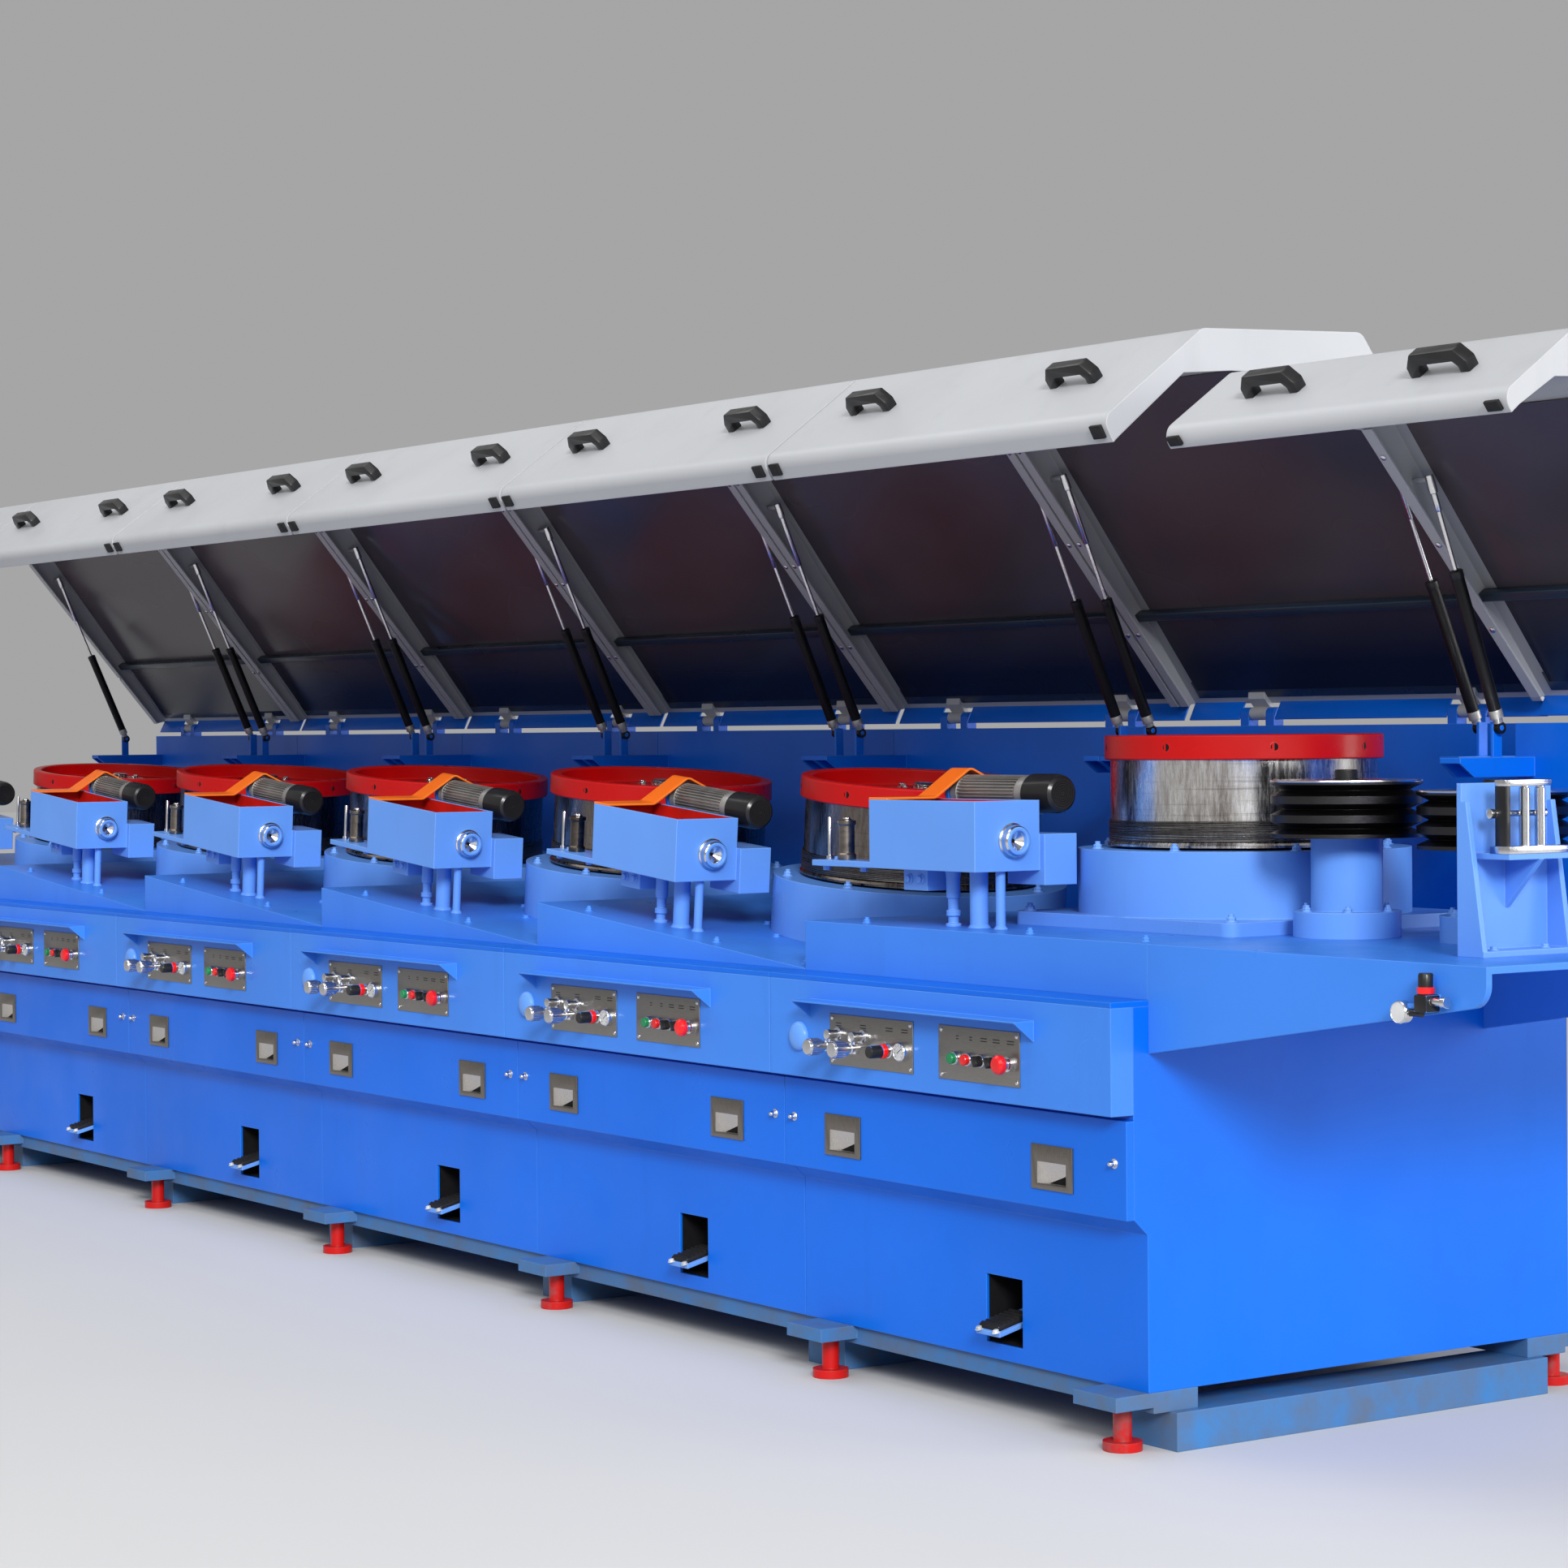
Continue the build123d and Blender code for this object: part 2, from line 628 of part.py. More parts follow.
with BuildPart() as die_boxes:
    for bay in range(1, BAYS + 1):
        with BuildSketch(deck_plane(bay, BOX_LIFT)):
            with Locations((box_middle, box_centre_y)):
                Rectangle(BOX_LENGTH, BOX_WIDTH)
        extrude(amount=BOX_HEIGHT)
        with BuildSketch(deck_plane(bay, BOX_LIFT)):
            with Locations((plate_centre, ROLLER_BACK)):
                Rectangle(ROLLER_PLATE_LENGTH, ROLLER_PLATE_WIDTH)
        extrude(amount=ROLLER_PLATE)
        for from_end, radius in posts:
            with BuildSketch(deck_plane(bay)):
                with Locations((-from_end, box_centre_y)):
                    Circle(radius)
            extrude(amount=BOX_LIFT)
        with BuildSketch(deck_plane(bay, bracket_lift)):
            with Locations((-BRACKET_FROM_END, BOX_FRONT + BOX_WIDTH + MOTOR_GAP / 2 + MOTOR_RADIUS)):
                Rectangle(BRACKET_LENGTH, MOTOR_GAP + 2 * MOTOR_RADIUS)
        extrude(amount=BRACKET_THICK)
        with BuildSketch(deck_plane(bay, HOUSING_LIFT)):
            with Locations((housing_middle, BOX_FRONT + BOX_WIDTH + HOUSING_WIDTH / 2)):
                Rectangle(HOUSING_LENGTH, HOUSING_WIDTH)
        extrude(amount=HOUSING_HEIGHT)
        with BuildSketch(deck_plane(bay, BOX_LIFT)):
            with Locations((-CLAMP_FROM_END, box_centre_y)):
                Rectangle(CLAMP_LENGTH, CLAMP_WIDTH)
        extrude(amount=-CLAMP_HEIGHT)
        with BuildSketch(deck_plane(bay, BOX_LIFT + BOX_WALL)):
            with Locations((box_middle, box_centre_y)):
                Rectangle(BOX_LENGTH - 2 * BOX_WALL, BOX_WIDTH - 2 * BOX_WALL)
        extrude(amount=BOX_HEIGHT, mode=Mode.SUBTRACT)
save(die_boxes, "die_boxes")

# Exit rings on the die boxes
with BuildPart() as die_rings:
    for bay in range(1, BAYS + 1):
        with BuildSketch(ring_plane(bay)):
            Circle(RING_RADIUS)
        extrude(amount=RING_LENGTH)
        with BuildSketch(ring_plane(bay).offset(RING_LENGTH)):
            Circle(RING_BORE)
        extrude(amount=-RING_RECESS, mode=Mode.SUBTRACT)
save(die_rings, "die_rings")

# Stirrer motors on the brackets, each with a flange and a pulley
with BuildPart() as stirrer_motors:
    for bay in range(1, BAYS + 1):
        deck = deck_plane(bay)
        shaft = Plane(
            deck.from_local_coords(Vector(-MOTOR_FROM_END, motor_back, motor_lift)),
            x_dir=deck.y_dir, z_dir=deck.x_dir,
        )
        with BuildSketch(shaft):
            Circle(MOTOR_RADIUS)
        extrude(amount=MOTOR_LENGTH)
        with BuildSketch(shaft.offset(MOTOR_LENGTH)):
            Circle(FAN_COVER_RADIUS)
        extrude(amount=FAN_COVER_LENGTH)
        with BuildSketch(shaft):
            Circle(MOTOR_FLANGE_RADIUS)
        extrude(amount=-MOTOR_FLANGE)
        with BuildSketch(shaft.offset(-MOTOR_FLANGE)):
            Circle(PULLEY_RADIUS)
        extrude(amount=-PULLEY_WIDTH)
save(stirrer_motors, "stirrer_motors")

# Foot pedals: a tongue with a tread pad on a cross pin in each slot
tongue_run = PEDAL_PIN_BACK + PEDAL_REACH
tongue_rise = PEDAL_RISE + PEDAL_HUB_RADIUS - PEDAL_TIP - PEDAL_THICK
for bay in range(1, BAYS + 1):
    slot_x = bay_end(bay) - SLOT_FROM_END
    pin_y = FRONT_Y + PEDAL_PIN_BACK
    pin_z = SLOT_BOTTOM + PEDAL_RISE
    with BuildPart() as pedal:
        with Locations((slot_x, pin_y, pin_z)):
            Cylinder(PEDAL_PIN_RADIUS, SLOT_WIDTH + 2 * (PEDAL_PIN_END - SEAT_GAP), rotation=(0, 90, 0))
            Cylinder(PEDAL_HUB_RADIUS, PEDAL_WIDTH, rotation=(0, 90, 0))
        with BuildSketch(side_plane(slot_x - PEDAL_WIDTH / 2)):
            with BuildLine():
                Polyline(
                    (pin_y, pin_z + PEDAL_HUB_RADIUS),
                    (pin_y, pin_z + PEDAL_HUB_RADIUS - PEDAL_THICK),
                    (FRONT_Y - PEDAL_REACH, SLOT_BOTTOM + PEDAL_TIP),
                    (FRONT_Y - PEDAL_REACH, SLOT_BOTTOM + PEDAL_TIP + PEDAL_THICK),
                    close=True,
                )
            make_face()
        extrude(amount=PEDAL_WIDTH)
        tread = Plane(
            (slot_x, FRONT_Y - PEDAL_REACH, SLOT_BOTTOM + PEDAL_TIP + PEDAL_THICK),
            x_dir=(1, 0, 0), z_dir=(0, -tongue_rise, tongue_run),
        )
        with BuildSketch(tread):
            with Locations((0, PAD_SETBACK + PAD_LENGTH / 2)):
                Rectangle(PAD_WIDTH, PAD_LENGTH)
        extrude(amount=PAD_THICK)
    save(pedal, f"pedal_{bay}")


Lid = namedtuple("Lid", "name x_end width shape")
lids = [Lid(str(bay), bay_end(bay) - LID_GAP, PITCH - 2 * LID_GAP, BAY_LID) for bay in range(1, BAYS + 1)]
lids.append(Lid("exit", EXIT_X + EXIT_LID_START + EXIT_LID_LENGTH, EXIT_LID_LENGTH, EXIT_LID))


def both_ends(lid, inset):
    """X at an inset from both ends of a lid."""
    return lid.x_end - inset, lid.x_end - lid.width + inset


def roof_plane(lid):
    """Plane on the middle of a lid's roof, facing out, with the roof's length."""
    section = lid_plane(lid.x_end, lid.shape)
    start, end = (Vector(*point) for point in lid.shape.outline[:2])
    middle = section.from_local_coords((start + end) * 0.5) + section.z_dir * (lid.width / 2)
    slope = (end - start).normalized()
    outward = section.from_local_coords(Vector(-slope.Y, slope.X)) - section.origin
    return Plane(middle, x_dir=section.z_dir, z_dir=outward), (end - start).length


def lid_shell(lid):
    """Folded sheet lid with cheeks, rails, a cross rib, a window opening and two handles."""
    section = lid_plane(lid.x_end, lid.shape)
    roof, roof_length = roof_plane(lid)
    outline, edge = lid.shape.outline, lid.shape.edge
    hinge_y = section.origin.Y
    with BuildPart() as shell:
        with BuildSketch(section):
            with BuildLine():
                FilletPolyline(*outline, radius=LID_BEND)
                offset(amount=SHEET, side=Side.RIGHT)
            make_face()
        extrude(amount=lid.width)
        for start in (0, lid.width - SHEET):
            with BuildSketch(section.offset(start)):
                with BuildLine():
                    FilletPolyline(*outline, radius=LID_BEND)
                    Polyline(outline[-1], *edge, outline[0])
                make_face()
            extrude(amount=SHEET)
        (rail_u, rail_v), (tail_u, tail_v) = edge[-2:]
        for start in (0, lid.width - RAIL_FLANGE):
            with BuildSketch(section.offset(start)):
                with BuildLine():
                    Polyline(
                        (tail_u, tail_v), (rail_u, rail_v),
                        (rail_u, rail_v + SHEET), (tail_u, tail_v + SHEET),
                        close=True,
                    )
                make_face()
            extrude(amount=RAIL_FLANGE)
        with BuildSketch(roof.offset(SHEET)):
            Rectangle(lid.width - 2 * WINDOW_MARGIN, roof_length - 2 * WINDOW_MARGIN)
        extrude(amount=-3 * SHEET, mode=Mode.SUBTRACT)
        with BuildSketch(roof.offset(-SHEET - GLAZING)):
            with Locations((0, RIB_AT - roof_length / 2)):
                Rectangle(lid.width - 2 * SHEET, RIB_SIZE)
        extrude(amount=-RIB_SIZE)
        stud_length = STRUT_INSET - SOCKET_RADIUS - EAR_GAP
        for start in (0, lid.width - stud_length):
            with BuildSketch(section.offset(start)):
                with Locations(lid.shape.strut_top):
                    Circle(STUD_RADIUS)
            extrude(amount=stud_length)
        for hinge_x in both_ends(lid, HINGE_INSET):
            with Locations((hinge_x, hinge_y, HINGE_Z)):
                Cylinder(KNUCKLE_RADIUS, KNUCKLE_LENGTH, rotation=(0, 90, 0))
            with BuildSketch(section.offset(lid.x_end - hinge_x - KNUCKLE_LENGTH / 2)):
                with BuildLine():
                    Polyline(
                        (0, KNUCKLE_RADIUS), outline[0], (outline[0][0] + HINGE_LEAF, outline[0][1]),
                        (HINGE_LEAF, KNUCKLE_RADIUS - SHEET), (0, KNUCKLE_RADIUS - SHEET),
                        close=True,
                    )
                make_face()
            extrude(amount=KNUCKLE_LENGTH)
        for hinge_x in both_ends(lid, HINGE_INSET):
            with Locations((hinge_x, hinge_y, HINGE_Z)):
                Cylinder(PIN_RADIUS + FIT, KNUCKLE_LENGTH, rotation=(0, 90, 0), mode=Mode.SUBTRACT)
        top, bottom = (Vector(*point) for point in outline[2:4])
        face_up = (top - bottom).normalized()
        face_out = section.from_local_coords(Vector(face_up.Y, -face_up.X)) - section.origin
        for shift in (-lid.shape.handle_spread / 2, lid.shape.handle_spread / 2):
            grip = Plane(
                section.from_local_coords((top + bottom) * 0.5) + section.z_dir * (lid.width / 2 + shift),
                x_dir=section.z_dir, z_dir=face_out,
            )
            with BuildSketch(Plane(grip.origin, x_dir=grip.x_dir, z_dir=-grip.y_dir)):
                for inset, mode in ((0, Mode.ADD), (HANDLE_BAR, Mode.SUBTRACT)):
                    span, top_span = HANDLE_SPAN / 2 - inset, HANDLE_TOP / 2 - inset / 2
                    shoulder = HANDLE_SHOULDER - inset / 3
                    with BuildLine():
                        Polyline(
                            (-span, 0), (-span, shoulder), (-top_span, HANDLE_REACH - inset),
                            (top_span, HANDLE_REACH - inset), (span, shoulder), (span, 0),
                            close=True,
                        )
                    make_face(mode=mode)
            extrude(amount=HANDLE_DEPTH / 2, both=True)
    return shell


def lid_glazing(lid):
    """Window sheet against the inside of a lid's roof."""
    roof, roof_length = roof_plane(lid)
    border = 2 * (WINDOW_MARGIN - WINDOW_LAP)
    with BuildPart() as glazing:
        with BuildSketch(roof.offset(-SHEET)):
            Rectangle(lid.width - border, roof_length - border)
        extrude(amount=-GLAZING)
    return glazing


def strut_reach(shape):
    """Forward and upward distance between a strut's pivots on an open lid."""
    opened = radians(shape.opened)
    u, v = shape.strut_top
    return u * cos(opened) - v * sin(opened) - STRUT_AHEAD, u * sin(opened) + v * cos(opened) + STRUT_BELOW


def strut_plane(x, shape):
    """Plane across a gas strut at its lower pivot, facing along the rod."""
    forward, up = strut_reach(shape)
    pivot = (x, FRONT_Y + shape.hinge_back - STRUT_AHEAD, HINGE_Z - STRUT_BELOW)
    return Plane(origin=pivot, x_dir=(1, 0, 0), z_dir=(0, -forward, up))


def strut_barrels(lid):
    """Both barrels of a lid's gas struts with their lower eyes."""
    with BuildPart() as barrels:
        for x in both_ends(lid, STRUT_INSET):
            foot = strut_plane(x, lid.shape)
            with Locations(foot.origin):
                Cylinder(EYE_RADIUS, EYE_WIDTH, rotation=(0, 90, 0))
            with BuildSketch(foot):
                Circle(EYE_WIDTH / 2)
            extrude(amount=BARREL_START)
            with BuildSketch(foot.offset(BARREL_START)):
                Circle(BARREL_RADIUS)
            extrude(amount=BARREL_LENGTH)
            with BuildSketch(foot.offset(BARREL_START + BARREL_LENGTH)):
                Circle(ROD_RADIUS + FIT)
            extrude(amount=-BARREL_LENGTH + BARREL_FLOOR, mode=Mode.SUBTRACT)
            with Locations(foot.origin):
                Cylinder(STUD_RADIUS + FIT, EYE_WIDTH, rotation=(0, 90, 0), mode=Mode.SUBTRACT)
    return barrels


def strut_rods(lid):
    """Both rods of a lid's gas struts with their upper ball sockets."""
    rod_start = BARREL_START + BARREL_LENGTH - ROD_INSIDE
    strut_length = hypot(*strut_reach(lid.shape))
    with BuildPart() as rods:
        for x in both_ends(lid, STRUT_INSET):
            foot = strut_plane(x, lid.shape)
            with BuildSketch(foot.offset(rod_start)):
                Circle(ROD_RADIUS)
            extrude(amount=strut_length - rod_start)
            with BuildSketch(foot.offset(strut_length - SOCKET_LENGTH)):
                Circle(SOCKET_RADIUS)
            extrude(amount=SOCKET_LENGTH + SOCKET_RADIUS)
    return rods


for lid in lids:
    save(lid_shell(lid), f"lid_{lid.name}")
    save(lid_glazing(lid), f"window_{lid.name}")
    save(strut_barrels(lid), f"strut_barrels_{lid.name}")
    save(strut_rods(lid), f"strut_rods_{lid.name}")

# Rear walls with their hinge ears and pins, and an arm with a lug and a stud for each strut
with BuildPart() as rear_walls:
    for lid in lids:
        hinge_y = FRONT_Y + lid.shape.hinge_back
        wall_front = hinge_y - lid.shape.wall_ahead
        wall_thick = lid.shape.wall_ahead + lid.shape.wall_behind
        wall_foot = DECK_TOP if lid.shape is EXIT_LID else TABLE_TOP
        wall_length = lid.width if lid.shape is EXIT_LID else PITCH - SEAM
        with Locations((lid.x_end - lid.width / 2, wall_front + wall_thick / 2, (wall_foot + WALL_TOP) / 2)):
            Box(wall_length, wall_thick, WALL_TOP - wall_foot)
        for hinge_x in both_ends(lid, HINGE_INSET):
            for side in (-1, 1):
                ear_x = hinge_x + side * (KNUCKLE_LENGTH / 2 + EAR_GAP + EAR_LENGTH / 2)
                with Locations((ear_x, hinge_y, (WALL_TOP + HINGE_Z) / 2)):
                    Box(EAR_LENGTH, 2 * KNUCKLE_RADIUS, HINGE_Z - WALL_TOP)
                with Locations((ear_x, hinge_y, HINGE_Z)):
                    Cylinder(KNUCKLE_RADIUS, EAR_LENGTH, rotation=(0, 90, 0))
            with Locations((hinge_x, hinge_y, HINGE_Z)):
                Cylinder(PIN_RADIUS, KNUCKLE_LENGTH + 2 * EAR_GAP + EAR_LENGTH, rotation=(0, 90, 0))
        stud_y = hinge_y - STRUT_AHEAD
        stud_z = HINGE_Z - STRUT_BELOW
        arm_front = stud_y - ARM_AHEAD
        for x, side in zip(both_ends(lid, STRUT_INSET), (1, -1)):
            arm_x = x + side * (STRUT_INSET + LID_GAP - SEAM / 2 - ARM_WIDTH / 2)
            arm_top = stud_z - ARM_DROP
            with BuildSketch(side_plane(arm_x - ARM_WIDTH / 2)):
                with BuildLine():
                    Polyline(
                        (wall_front, arm_top), (arm_front, arm_top), (arm_front, arm_top - ARM_THICK),
                        (arm_front + ARM_SIDE, arm_top - ARM_SIDE), (wall_front, arm_top - ARM_SIDE),
                        close=True,
                    )
                make_face()
            extrude(amount=ARM_WIDTH)
            with Locations((arm_x, (wall_front + arm_front) / 2, arm_top - ARM_THICK - ARM_SIDE / 2)):
                Box(ARM_WIDTH - 2 * ARM_SHEET, wall_front - arm_front, ARM_SIDE, mode=Mode.SUBTRACT)
            lug_x = x + side * (EYE_WIDTH / 2 + EAR_GAP + BRACKET_THICK / 2)
            with Locations((lug_x, stud_y, stud_z + EYE_RADIUS / 2 - ARM_DROP / 2)):
                Box(BRACKET_THICK, LUG_WIDTH, ARM_DROP + EYE_RADIUS)
            with Locations((x + side * EAR_GAP, stud_y, stud_z)):
                Cylinder(STUD_RADIUS, EYE_WIDTH + 2 * EAR_GAP, rotation=(0, 90, 0))
save(rear_walls, "rear_walls")

# Exit shelf: a top plate with tapered side plates, cantilevered from the last bay, and an air
# regulator with its gauge on the front plate
shelf_root = EXIT_X - SEAM / 2
shelf_depth = EXIT_LID.hinge_back + EXIT_LID.wall_behind - DECK_FRONT
with BuildPart() as exit_shelf:
    shelf_middle = FRONT_Y + DECK_FRONT + shelf_depth / 2
    with Locations((shelf_root + SHELF_LENGTH / 2, shelf_middle, DECK_TOP - SHELF_PLATE / 2)):
        Box(SHELF_LENGTH, shelf_depth, SHELF_PLATE)
    for side_y in (FRONT_Y + DECK_FRONT, FRONT_Y + DECK_FRONT + shelf_depth - SHELF_PLATE):
        with BuildSketch(Plane.XZ.offset(-side_y)):
            with BuildLine():
                Polyline(
                    (shelf_root, DECK_TOP), (shelf_root + SHELF_LENGTH, DECK_TOP),
                    (shelf_root + SHELF_LENGTH, DECK_TOP - SHELF_TIP), (shelf_root, DECK_TOP - SHELF_ROOT),
                    close=True,
                )
            make_face()
            fillet(vertices().group_by(Axis.X)[-1].sort_by(Axis.Y)[0], SHELF_CORNER)
        extrude(amount=-SHELF_PLATE)
    regulator_x = EXIT_X + REGULATOR_AHEAD
    shelf_face = front_plane(-DECK_FRONT)
    with BuildSketch(shelf_face):
        with Locations((regulator_x, REGULATOR_LEVEL)):
            Rectangle(REGULATOR_SIDE, REGULATOR_SIDE)
    extrude(amount=REGULATOR_OUT)
    with BuildSketch(Plane((regulator_x, FRONT_Y + DECK_FRONT - REGULATOR_OUT / 2, REGULATOR_LEVEL))):
        Circle(REGULATOR_KNOB_RADIUS)
    extrude(amount=REGULATOR_SIDE / 2 + REGULATOR_KNOB)
    with BuildSketch(side_plane(EXIT_X + GAUGE_AHEAD)):
        with Locations((FRONT_Y + DECK_FRONT - REGULATOR_OUT / 2, REGULATOR_LEVEL - REGULATOR_SIDE / 4)):
            Circle(GAUGE_STEM)
    extrude(amount=REGULATOR_AHEAD - GAUGE_AHEAD)
    with BuildSketch(shelf_face.offset(REGULATOR_OUT / 4)):
        with Locations((EXIT_X + GAUGE_AHEAD, REGULATOR_LEVEL - GAUGE_DROP)):
            Circle(GAUGE_RADIUS)
    extrude(amount=REGULATOR_OUT / 2)
save(exit_shelf, "exit_shelf")

# Sheave stands on the shelf, each with its shaft
with BuildPart() as sheave_stands:
    for ahead, back, bottom in SHEAVES:
        foot = Plane((EXIT_X + ahead, FRONT_Y + back, DECK_TOP))
        top = bottom - DECK_TOP - SEAT_GAP
        outline = turned(foot, [
            (0, 0), (STAND_FLANGE_RADIUS, 0), (STAND_FLANGE_RADIUS, STAND_FLANGE),
            (STAND_RADIUS, STAND_FLANGE), (STAND_RADIUS, top), (SHEAVE_BORE, top),
            (SHEAVE_BORE, top + SHEAVE_HEIGHT + SEAT_GAP), (0, top + SHEAVE_HEIGHT + SEAT_GAP),
        ])
        revolve(outline, axis=axis_of(foot))
save(sheave_stands, "sheave_stands")

# Grooved exit sheaves, each with a cap over its shaft
for number, (ahead, back, bottom) in enumerate(SHEAVES, start=1):
    foot = Plane((EXIT_X + ahead, FRONT_Y + back, bottom))
    groove = SHEAVE_HEIGHT / SHEAVE_GROOVES
    rim = [(SHEAVE_BORE + FIT, 0)]
    for turn in range(SHEAVE_GROOVES):
        low = turn * groove
        rim += [
            (SHEAVE_RADIUS, low), (SHEAVE_RADIUS, low + SHEAVE_LAND),
            (SHEAVE_RADIUS - GROOVE_DEPTH, low + groove / 2), (SHEAVE_RADIUS, low + groove - SHEAVE_LAND),
        ]
    cap_top = SHEAVE_HEIGHT + CAP_HEIGHT
    rim += [
        (SHEAVE_RADIUS, SHEAVE_HEIGHT), (CAP_RADIUS, SHEAVE_HEIGHT), (CAP_RADIUS, cap_top), (0, cap_top),
        (0, SHEAVE_HEIGHT + SEAT_GAP), (SHEAVE_BORE + FIT, SHEAVE_HEIGHT + SEAT_GAP),
    ]
    with BuildPart() as sheave:
        revolve(turned(foot, rim), axis=axis_of(foot))
    save(sheave, f"sheave_{number}")

# Wire exit bracket on the shelf: base, upright, gussets, a ribbed roller shelf and the rollers' cheek
with BuildPart() as exit_bracket:
    upright_x = EXIT_X + BRACKET_AHEAD
    base_y = FRONT_Y + BRACKET_BACK
    shelf_top = DECK_TOP + ROLLER_SHELF
    rib_top = shelf_top - BRACKET_PLATE
    with Locations((upright_x + BRACKET_BASE / 2, base_y, DECK_TOP + BRACKET_PLATE / 2)):
        Box(BRACKET_BASE, BRACKET_WIDTH, BRACKET_PLATE)
    with Locations((upright_x + BRACKET_PLATE / 2, base_y, DECK_TOP + BRACKET_HEIGHT / 2)):
        Box(BRACKET_PLATE, BRACKET_WIDTH, BRACKET_HEIGHT)
    for side in (-1, 1):
        with BuildSketch(Plane.XZ.offset(-(base_y + side * (BRACKET_WIDTH - BRACKET_PLATE) / 2))):
            with BuildLine():
                Polyline(
                    (upright_x, DECK_TOP), (upright_x + BRACKET_BASE, DECK_TOP),
                    (upright_x + 2 * BRACKET_PLATE, DECK_TOP + GUSSET_HEIGHT),
                    (upright_x, DECK_TOP + GUSSET_HEIGHT),
                    close=True,
                )
            make_face()
        extrude(amount=BRACKET_PLATE / 2, both=True)
    with Locations((upright_x + ROLLER_SHELF_LENGTH / 2, base_y, shelf_top - BRACKET_PLATE / 2)):
        Box(ROLLER_SHELF_LENGTH, ROLLER_SHELF_WIDTH, BRACKET_PLATE)
    with BuildSketch(Plane.XZ.offset(-base_y)):
        with BuildLine():
            Polyline(
                (upright_x, rib_top), (upright_x + ROLLER_SHELF_LENGTH, rib_top), (upright_x, rib_top - SHELF_RIB),
                close=True,
            )
        make_face()
    extrude(amount=BRACKET_PLATE / 2, both=True)
    cheek_y = base_y - ROLLER_CHEEK_OFFSET
    roller_x = upright_x + EXIT_ROLLER_AHEAD
    with Locations((roller_x, cheek_y, shelf_top + ROLLER_CHEEK / 2)):
        Box(ROLLER_CHEEK_LENGTH, ROLLER_BAR, ROLLER_CHEEK)
    bar_end = base_y + EXIT_ROLLER_OFFSET + EXIT_ROLLER_RADIUS
    with Locations((roller_x, (cheek_y + bar_end) / 2, shelf_top + ROLLER_CHEEK + ROLLER_BAR / 2)):
        Box(ROLLER_CHEEK_LENGTH, bar_end - cheek_y + ROLLER_BAR, ROLLER_BAR)
save(exit_bracket, "exit_bracket")

# Guide rollers: a pair under the exit bracket's bar, and a roller and pin on each roller plate
with BuildPart() as guide_rollers:
    for side in (-1, 1):
        with BuildSketch(Plane((roller_x, base_y + side * EXIT_ROLLER_OFFSET, shelf_top))):
            Circle(EXIT_ROLLER_RADIUS)
        extrude(amount=ROLLER_CHEEK)
    for bay in range(1, BAYS + 1):
        for from_end, radius in ((ROLLER_FROM_END, ROLLER_RADIUS), (GUIDE_PIN_FROM_END, GUIDE_PIN_RADIUS)):
            with BuildSketch(deck_plane(bay, BOX_LIFT + ROLLER_PLATE)):
                with Locations((-from_end, ROLLER_BACK)):
                    Circle(radius)
            extrude(amount=ROLLER_HEIGHT)
save(guide_rollers, "guide_rollers")

# Belt guards: bent strips over the motors' pulleys, each with its foot on a die box's rim
box_top = BOX_LIFT + BOX_HEIGHT + GUARD_THICK
with BuildPart() as belt_guards:
    for bay in range(1, BAYS + 1):
        deck = deck_plane(bay)
        corner = deck.from_local_coords(Vector(-GUARD_FROM_END, 0, 0))
        with BuildSketch(Plane(corner, x_dir=deck.y_dir, z_dir=deck.x_dir)):
            with BuildLine():
                FilletPolyline(
                    (BOX_FRONT, box_top), (GUARD_FOOT, box_top),
                    (GUARD_CREST, box_top + GUARD_RISE), (GUARD_TAIL, box_top + GUARD_FALL),
                    radius=GUARD_BEND,
                )
                offset(amount=GUARD_THICK, side=Side.RIGHT)
            make_face()
        extrude(amount=GUARD_WIDTH)
save(belt_guards, "belt_guards")
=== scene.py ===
"""Looks of a straight-line wire drawing machine, in metres, in the frame of its solids.

X runs along the wire to the exit end, Y runs to the back and Z is up.
"""
import json
from math import atan2, cos, hypot, pi, radians, sin

import bmesh
import bpy
from mathutils import Matrix, Vector


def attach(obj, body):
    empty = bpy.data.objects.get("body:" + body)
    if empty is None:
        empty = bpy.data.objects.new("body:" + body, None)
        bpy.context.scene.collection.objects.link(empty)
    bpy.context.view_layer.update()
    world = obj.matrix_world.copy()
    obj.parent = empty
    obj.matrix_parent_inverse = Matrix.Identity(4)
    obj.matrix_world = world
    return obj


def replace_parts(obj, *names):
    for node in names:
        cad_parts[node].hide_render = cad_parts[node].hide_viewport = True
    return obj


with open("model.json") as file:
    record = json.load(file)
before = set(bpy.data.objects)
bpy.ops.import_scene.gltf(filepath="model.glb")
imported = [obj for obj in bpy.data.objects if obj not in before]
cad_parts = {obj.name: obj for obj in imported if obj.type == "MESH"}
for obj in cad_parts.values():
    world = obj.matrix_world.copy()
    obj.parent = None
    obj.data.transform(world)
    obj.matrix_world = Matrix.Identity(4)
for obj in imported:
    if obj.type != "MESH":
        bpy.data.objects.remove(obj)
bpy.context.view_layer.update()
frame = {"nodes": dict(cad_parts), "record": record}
nodes = frame["nodes"]

BAYS = 6
PITCH = 1.25
EXIT_X = BAYS * PITCH / 2
FRONT_Y = -0.62
DECK_TOP, DECK_LOW = 1.059, 0.946
TILT = atan2(DECK_TOP - DECK_LOW, PITCH)
CONSOLE_OUT, COVER_OUT = 0.096, 0.056
HINGE_Z = 1.54
SEAT_X, SEAT_Y, PLINTH = -0.415, 0.640, 0.031
PEDAL_X = -0.487


# Shading

